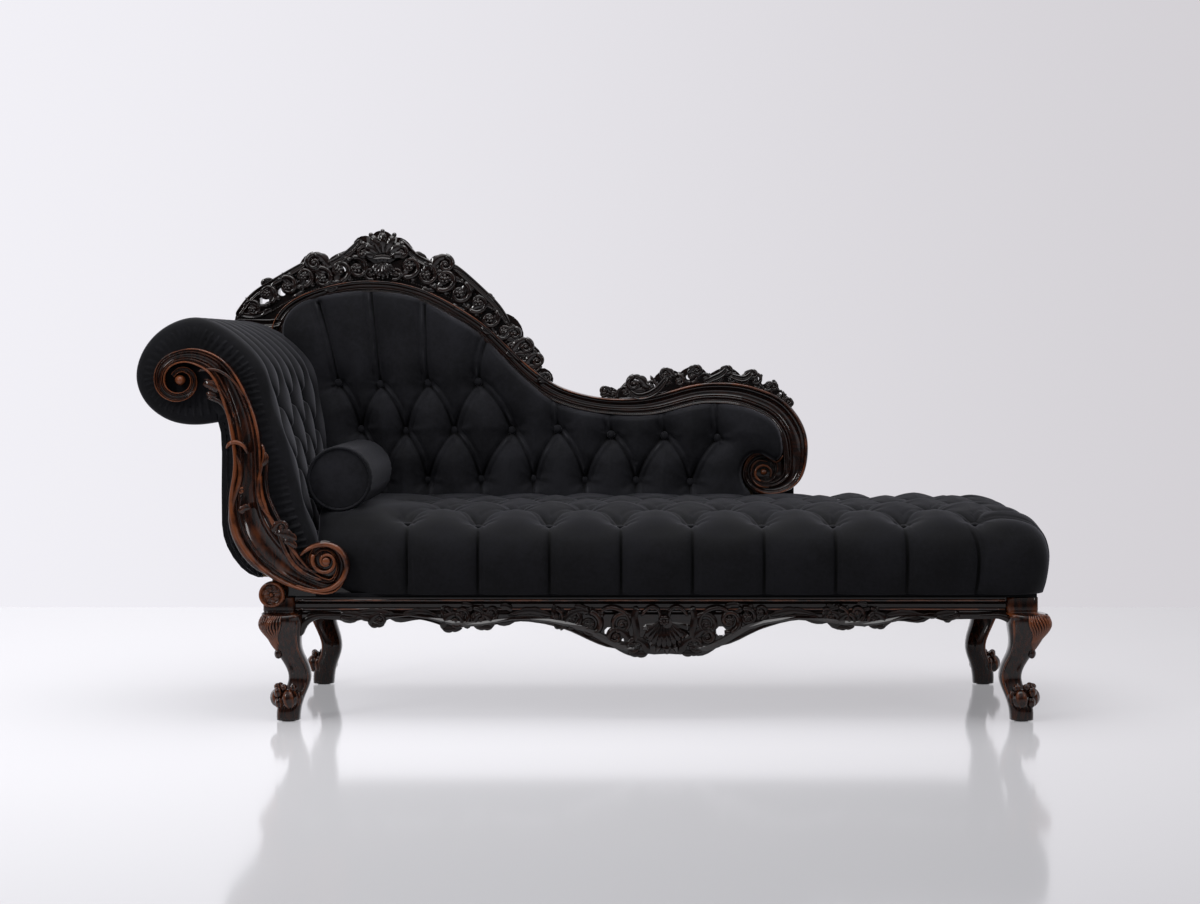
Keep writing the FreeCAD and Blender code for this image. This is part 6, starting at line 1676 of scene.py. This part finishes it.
CAD_FINISHES = {
    "carved dark": ["front_rail", "rear_rail", "head_rail", "foot_rail", "front_left_leg", "front_right_leg",
                    "rear_left_leg", "rear_right_leg", "front_apron", "arm_boss", "back_top_rail",
                    "back_crest",
                    "small_crest", "arm_scroll", "back_left_stile", "back_right_stile", "arm_rear_board",
                    "arm_roll_board", "arm_battens"],
    "black velvet": ["seat_cushion", "seat_buttons", "seat_trim", "back_outer_panel", "arm_pad",
                     "arm_buttons",
                     "arm_facing", "arm_outer_panel", "back_pad", "back_buttons", "bolster",
                     "bolster_piping"],
    "frame wood": ["corner_blocks", "back_uprights", "back_tack_rails", "back_dowels", "arm_front_board"],
    "webbing": ["cross_webbing", "long_webbing", "back_webbing"],
    "dust cloth": ["dust_cover"],
    "seat foam": ["seat_foam"],
    "bright steel": ["corner_screws"],
    "glide": ["foot_glides"],
}


class ChaiseLook(bpy.types.PropertyGroup):
    """Sizes and colours of the cover and the lacquer."""

    velvet: bpy.props.FloatVectorProperty(
        name="Velvet", description="Deep colour of the velvet", size=3, subtype="COLOR",
        default=(0.0038, 0.0038, 0.0046))
    sheen: bpy.props.FloatProperty(
        name="Sheen", description="How strongly the pile catches the light", default=0.26, min=0.0, max=1.0)
    lacquer: bpy.props.FloatVectorProperty(
        name="Lacquer", description="Colour of the whole lacquer", size=3, subtype="COLOR",
        default=(0.0058, 0.0036, 0.0032))
    worn_wood: bpy.props.FloatVectorProperty(
        name="Worn wood", description="Colour where the lacquer is rubbed through", size=3, subtype="COLOR",
        default=(0.175, 0.048, 0.015))
    warm_ground: bpy.props.FloatVectorProperty(
        name="Warm ground", description="Brown that shows through thin lacquer", size=3, subtype="COLOR",
        default=(0.052, 0.0145, 0.0068))
    pit_depth: bpy.props.FloatProperty(
        name="Pit depth", description="How deep a button is drawn in", default=0.026, unit="LENGTH")
    crease_depth: bpy.props.FloatProperty(
        name="Crease depth", description="Depth of the creases between buttons", default=0.017, unit="LENGTH")
    button_radius: bpy.props.FloatProperty(
        name="Button radius", description="Radius of a covered button", default=0.0095, unit="LENGTH")
    pillow: bpy.props.FloatProperty(
        name="Pillow", description="How far the cover swells between its creases", default=0.013,
        unit="LENGTH")
    flute_depth: bpy.props.FloatProperty(
        name="Flute depth", description="Depth of the joins between the arm's flutes", default=0.016,
        unit="LENGTH")
    flute_joins: bpy.props.FloatVectorProperty(
        name="Flute joins", description="Places of the joins over the arm's depth", size=7, unit="LENGTH",
        default=(-0.236, -0.168, -0.102, -0.036, 0.030, 0.096, 0.162))


class CHAISE_OT_seat(bpy.types.Operator):
    """Make the tufted seat and its buttons"""

    bl_idname = "chaise.seat"
    bl_label = "Seat"

    def execute(self, context):
        look = context.scene.chaise_look
        velvet = materials()["black velvet"]
        seat = make_seat(velvet, look)
        places = np.concatenate(seat_button_places())
        sunk = (SEAT_RELIEF * look.pit_depth + 0.001) * seat_shallow(places[:, 0], places[:, 1])
        height = SEAT_TOP - sunk - seat_fall(places[:, 0], places[:, 1])
        height = np.minimum(height, top_under(seat, places) + 0.001)
        places = np.column_stack([places, height])
        ways = np.tile([0.0, 0.0, 1.0], (len(places), 1))
        buttons_piece("seat_button_caps", places, ways, look.button_radius, velvet, ["seat_buttons"])
        return {"FINISHED"}


class CHAISE_OT_back(bpy.types.Operator):
    """Make the tufted back and its buttons"""

    bl_idname = "chaise.back"
    bl_label = "Back"

    def execute(self, context):
        look = context.scene.chaise_look
        # The back's velvet is the black velvet painted lighter.
        velvet = materials()["back velvet"]
        make_back(velvet, look)
        flat = np.concatenate(back_rows())
        places = upright(flat, BACK_CROWN + look.pit_depth)
        ways = np.tile(FRONT, (len(places), 1))
        buttons_piece("back_button_caps", places, ways, look.button_radius, velvet, ["back_buttons"])
        return {"FINISHED"}


class CHAISE_OT_arm(bpy.types.Operator):
    """Make the fluted roll of the arm, its front face and its buttons"""

    bl_idname = "chaise.arm"
    bl_label = "Arm"

    def execute(self, context):
        look = context.scene.chaise_look
        velvet = materials()["black velvet"]
        make_arm(velvet, look)
        make_arm_face(velvet)
        places, ways = arm_button_places(look)
        buttons_piece("arm_button_caps", places, ways, look.button_radius * 0.8, velvet, ["arm_buttons"])
        return {"FINISHED"}


class CHAISE_OT_bolster(bpy.types.Operator):
    """Make the loose bolster and its piping"""

    bl_idname = "chaise.bolster"
    bl_label = "Bolster"

    def execute(self, context):
        # The bolster's velvet is the black velvet painted lighter.
        velvet = materials()["bolster velvet"]
        make_bolster(velvet)
        make_bolster_cord(velvet)
        return {"FINISHED"}


class CHAISE_OT_back_rail(bpy.types.Operator):
    """Make the carved rail of the back"""

    bl_idname = "chaise.back_rail"
    bl_label = "Back rail"

    def execute(self, context):
        make_back_rail(materials()["carved edge"])
        return {"FINISHED"}


class CHAISE_OT_arm_scroll(bpy.types.Operator):
    """Make the carved scroll of the arm"""

    bl_idname = "chaise.arm_scroll"
    bl_label = "Arm scroll"

    def execute(self, context):
        make_arm_scroll(materials()["carved warm"])
        make_arm_strands(materials()["carved warm"])
        return {"FINISHED"}


class CHAISE_OT_carvings(bpy.types.Operator):
    """Make the carving of the crest, the small crest and the apron"""

    bl_idname = "chaise.carvings"
    bl_label = "Carvings"

    def execute(self, context):
        made = materials()
        make_crest_carving(made["carved dark"])
        make_small_crest_carving(made["carved dark"])
        make_apron_carving(made["carved low"])
        make_rail_beads(made["carved edge"])
        return {"FINISHED"}


class CHAISE_OT_legs(bpy.types.Operator):
    """Make the four cabriole legs and the boss over the front one"""

    bl_idname = "chaise.legs"
    bl_label = "Legs"

    def execute(self, context):
        made = materials()
        for name, end, side in (("front_left_leg", -1, -1), ("front_right_leg", 1, -1),
                                ("rear_left_leg", -1, 1),
                                ("rear_right_leg", 1, 1)):
            make_leg(name + "_carved", end, side, made["carved warm"])
        make_boss(made["carved warm"])
        return {"FINISHED"}


class CHAISE_OT_finishes(bpy.types.Operator):
    """Give every carried-over node its finish"""

    bl_idname = "chaise.finishes"
    bl_label = "Finishes"

    def execute(self, context):
        made = materials()
        for finish, nodes in CAD_FINISHES.items():
            for name in nodes:
                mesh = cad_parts[name].data
                mesh.materials.clear()
                mesh.materials.append(made[finish])
        return {"FINISHED"}


def add_lamp(name, place, target, size, power):
    """A white softbox at a place, turned to a target."""
    lamp = bpy.data.lights.new(name, "AREA")
    lamp.shape = "RECTANGLE"
    lamp.size, lamp.size_y = size
    lamp.energy = power
    made = bpy.data.objects.new(name, lamp)
    bpy.context.scene.collection.objects.link(made)
    made.location = place
    way = np.array(target, float) - np.array(place, float)
    made.rotation_euler = Vector(way).to_track_quat("-Z", "Y").to_euler()


def plane(name, corners, material):
    """One flat face."""
    mesh = bpy.data.meshes.new(name)
    mesh.from_pydata(corners, [], [(0, 1, 2, 3)])
    mesh.materials.append(material)
    made = bpy.data.objects.new(name, mesh)
    bpy.context.scene.collection.objects.link(made)
    return made


def painted_falloff_sideways(tree, place, left, right):
    """Painted falloff of light: a colour that runs from left to right over the stage."""
    parts = tree.nodes.new("ShaderNodeSeparateXYZ")
    tree.links.new(place, parts.inputs[0])
    return add_mix(tree, add_ramp(tree, parts.outputs["X"], -2.6, 2.6), left, right)


def shown_only(tree):
    """One for what the camera sees, straight or in a reflection, and zero for light that reaches the
    object."""
    path = tree.nodes.new("ShaderNodeLightPath")
    shown = add_math(tree, "MAXIMUM", path.outputs["Is Camera Ray"], path.outputs["Is Glossy Ray"])
    return add_math(tree, "MAXIMUM", shown, path.outputs["Is Transmission Ray"])


def floor_material():
    """Gloss white floor: a diffuse ground that takes the shadow, a share of its own light for the camera
    alone, and a clear reflection that grows towards grazing. Its colour and its own light are painted darker
    from left to right, and its own light is painted dimmer towards the front, as falloff of light."""
    material, tree, shader, place = new_material("gloss floor")
    tree.links.new(painted_falloff_sideways(tree, place, (0.605, 0.600, 0.618, 1), (0.425, 0.420, 0.434, 1)),
                   shader.inputs["Base Color"])
    shader.inputs["Roughness"].default_value = 0.09
    shader.inputs["Specular IOR Level"].default_value = 0.30
    tree.links.new(painted_falloff_sideways(tree, place, (0.275, 0.273, 0.284, 1), (0.185, 0.183, 0.190, 1)),
                   shader.inputs["Emission Color"])
    parts = tree.nodes.new("ShaderNodeSeparateXYZ")
    tree.links.new(place, parts.inputs[0])
    # The floor's own light is painted dimmer towards the front.
    painted_front_falloff = add_math(tree, "MULTIPLY", add_ramp(tree, parts.outputs["Y"], -2.3, -0.3), 0.32)
    tree.links.new(add_math(tree, "MULTIPLY", shown_only(tree), add_math(tree, "ADD", painted_front_falloff, 0.68)),
                   shader.inputs["Emission Strength"])
    return material


def wall_material():
    """A plain pale wall, painted darker from left to right as falloff of light, that shows its colour to the
    camera and in reflections, and lights nothing. From behind it is clear, so that the piece's back can be
    seen."""
    material, tree, shader, place = new_material("pale wall")
    tree.nodes.remove(shader)
    output = next(node for node in tree.nodes if node.type == "OUTPUT_MATERIAL")
    light = tree.nodes.new("ShaderNodeEmission")
    tree.links.new(painted_falloff_sideways(tree, place, (0.90, 0.89, 0.94, 1), (0.64, 0.62, 0.65, 1)), light.inputs["Color"])
    tree.links.new(shown_only(tree), light.inputs["Strength"])
    one_sided = tree.nodes.new("ShaderNodeMixShader")
    tree.links.new(tree.nodes.new("ShaderNodeNewGeometry").outputs["Backfacing"], one_sided.inputs["Fac"])
    tree.links.new(light.outputs[0], one_sided.inputs[1])
    tree.links.new(tree.nodes.new("ShaderNodeBsdfTransparent").outputs[0], one_sided.inputs[2])
    tree.links.new(one_sided.outputs[0], output.inputs[0])
    return material


def soft_room():
    """The world: a dim room that brightens towards the ceiling, with a pale ground beyond the floor for the
    camera."""
    world = bpy.data.worlds.new("soft room")
    bpy.context.scene.world = world
    world.use_nodes = True
    tree = world.node_tree
    ground = tree.nodes["Background"]
    place = tree.nodes.new("ShaderNodeTexCoord")
    parts = tree.nodes.new("ShaderNodeSeparateXYZ")
    tree.links.new(place.outputs["Generated"], parts.inputs[0])
    share = add_ramp(tree, parts.outputs["Z"], 0.05, 0.85)
    room = add_mix(tree, share, (0.07, 0.07, 0.075, 1), (0.95, 0.96, 1.0, 1))
    seen_straight = tree.nodes.new("ShaderNodeLightPath").outputs["Is Camera Ray"]
    tree.links.new(add_mix(tree, seen_straight, room, (0.95, 0.94, 0.98, 1)), ground.inputs["Color"])
    ground.inputs["Strength"].default_value = 0.75


class CHAISE_OT_stage(bpy.types.Operator):
    """Make the floor, the wall, the lamps and the camera"""

    bl_idname = "chaise.stage"
    bl_label = "Stage"

    def execute(self, context):
        floor = plane("floor", [(-14, -9, 0), (14, -9, 0), (14, 12, 0), (-14, 12, 0)], floor_material())
        wall = plane("wall", [(-14, 1.96, 0), (14, 1.96, 0), (14, 1.96, 9), (-14, 1.96, 9)], wall_material())
        add_lamp("top softbox", (-0.2, 0.1, 3.2), (0.0, 0.1, 0.4), (4.2, 2.6), 95.0)
        add_lamp("left softbox", (-2.8, -2.6, 2.3), (-0.3, 0.0, 0.6), (0.30, 1.3), 27.0)
        add_lamp("right softbox", (2.8, -2.6, 2.0), (0.4, 0.0, 0.5), (0.25, 1.1), 8.0)
        soft_room()
        camera = bpy.data.cameras.new("camera")
        camera.sensor_width = SENSOR
        camera.lens = FOCAL_PIXELS / PICTURE[0] * SENSOR
        camera.shift_x = (PICTURE[0] / 2 - AXIS_PIXELS[0]) / PICTURE[0]
        camera.shift_y = (AXIS_PIXELS[1] - PICTURE[1] / 2) / PICTURE[0]
        camera.clip_end = 60.0
        made = bpy.data.objects.new("camera", camera)
        context.scene.collection.objects.link(made)
        made.location = CAMERA_PLACE
        made.rotation_euler = (math.pi / 2, 0.0, 0.0)
        context.scene.camera = made
        context.scene.view_settings.view_transform = "Standard"
        return {"FINISHED"}


MAKERS = [
    CHAISE_OT_finishes, CHAISE_OT_seat, CHAISE_OT_back, CHAISE_OT_arm, CHAISE_OT_bolster, CHAISE_OT_back_rail,
    CHAISE_OT_arm_scroll, CHAISE_OT_legs, CHAISE_OT_carvings, CHAISE_OT_stage,
]


class CHAISE_PT_panel(bpy.types.Panel):
    """The chaise longue's pieces and their sizes"""

    bl_idname = "CHAISE_PT_panel"
    bl_label = "Chaise"
    bl_space_type = "VIEW_3D"
    bl_region_type = "UI"
    bl_category = "Chaise"

    def draw(self, context):
        for label in ChaiseLook.__annotations__:
            self.layout.prop(context.scene.chaise_look, label)
        for maker in MAKERS:
            self.layout.operator(maker.bl_idname)


CLASSES = [ChaiseLook, *MAKERS, CHAISE_PT_panel]


def register():
    """Adds the settings, the operators and the panel."""
    for each in CLASSES:
        bpy.utils.register_class(each)
    bpy.types.Scene.chaise_look = bpy.props.PointerProperty(type=ChaiseLook)


def unregister():
    """Takes them out again."""
    del bpy.types.Scene.chaise_look
    for each in reversed(CLASSES):
        bpy.utils.unregister_class(each)


def main():
    """Makes every piece through its operator."""
    register()
    for maker in MAKERS:
        group, name = maker.bl_idname.split(".")
        getattr(getattr(bpy.ops, group), name)()


if __name__ == "__main__":
    main()
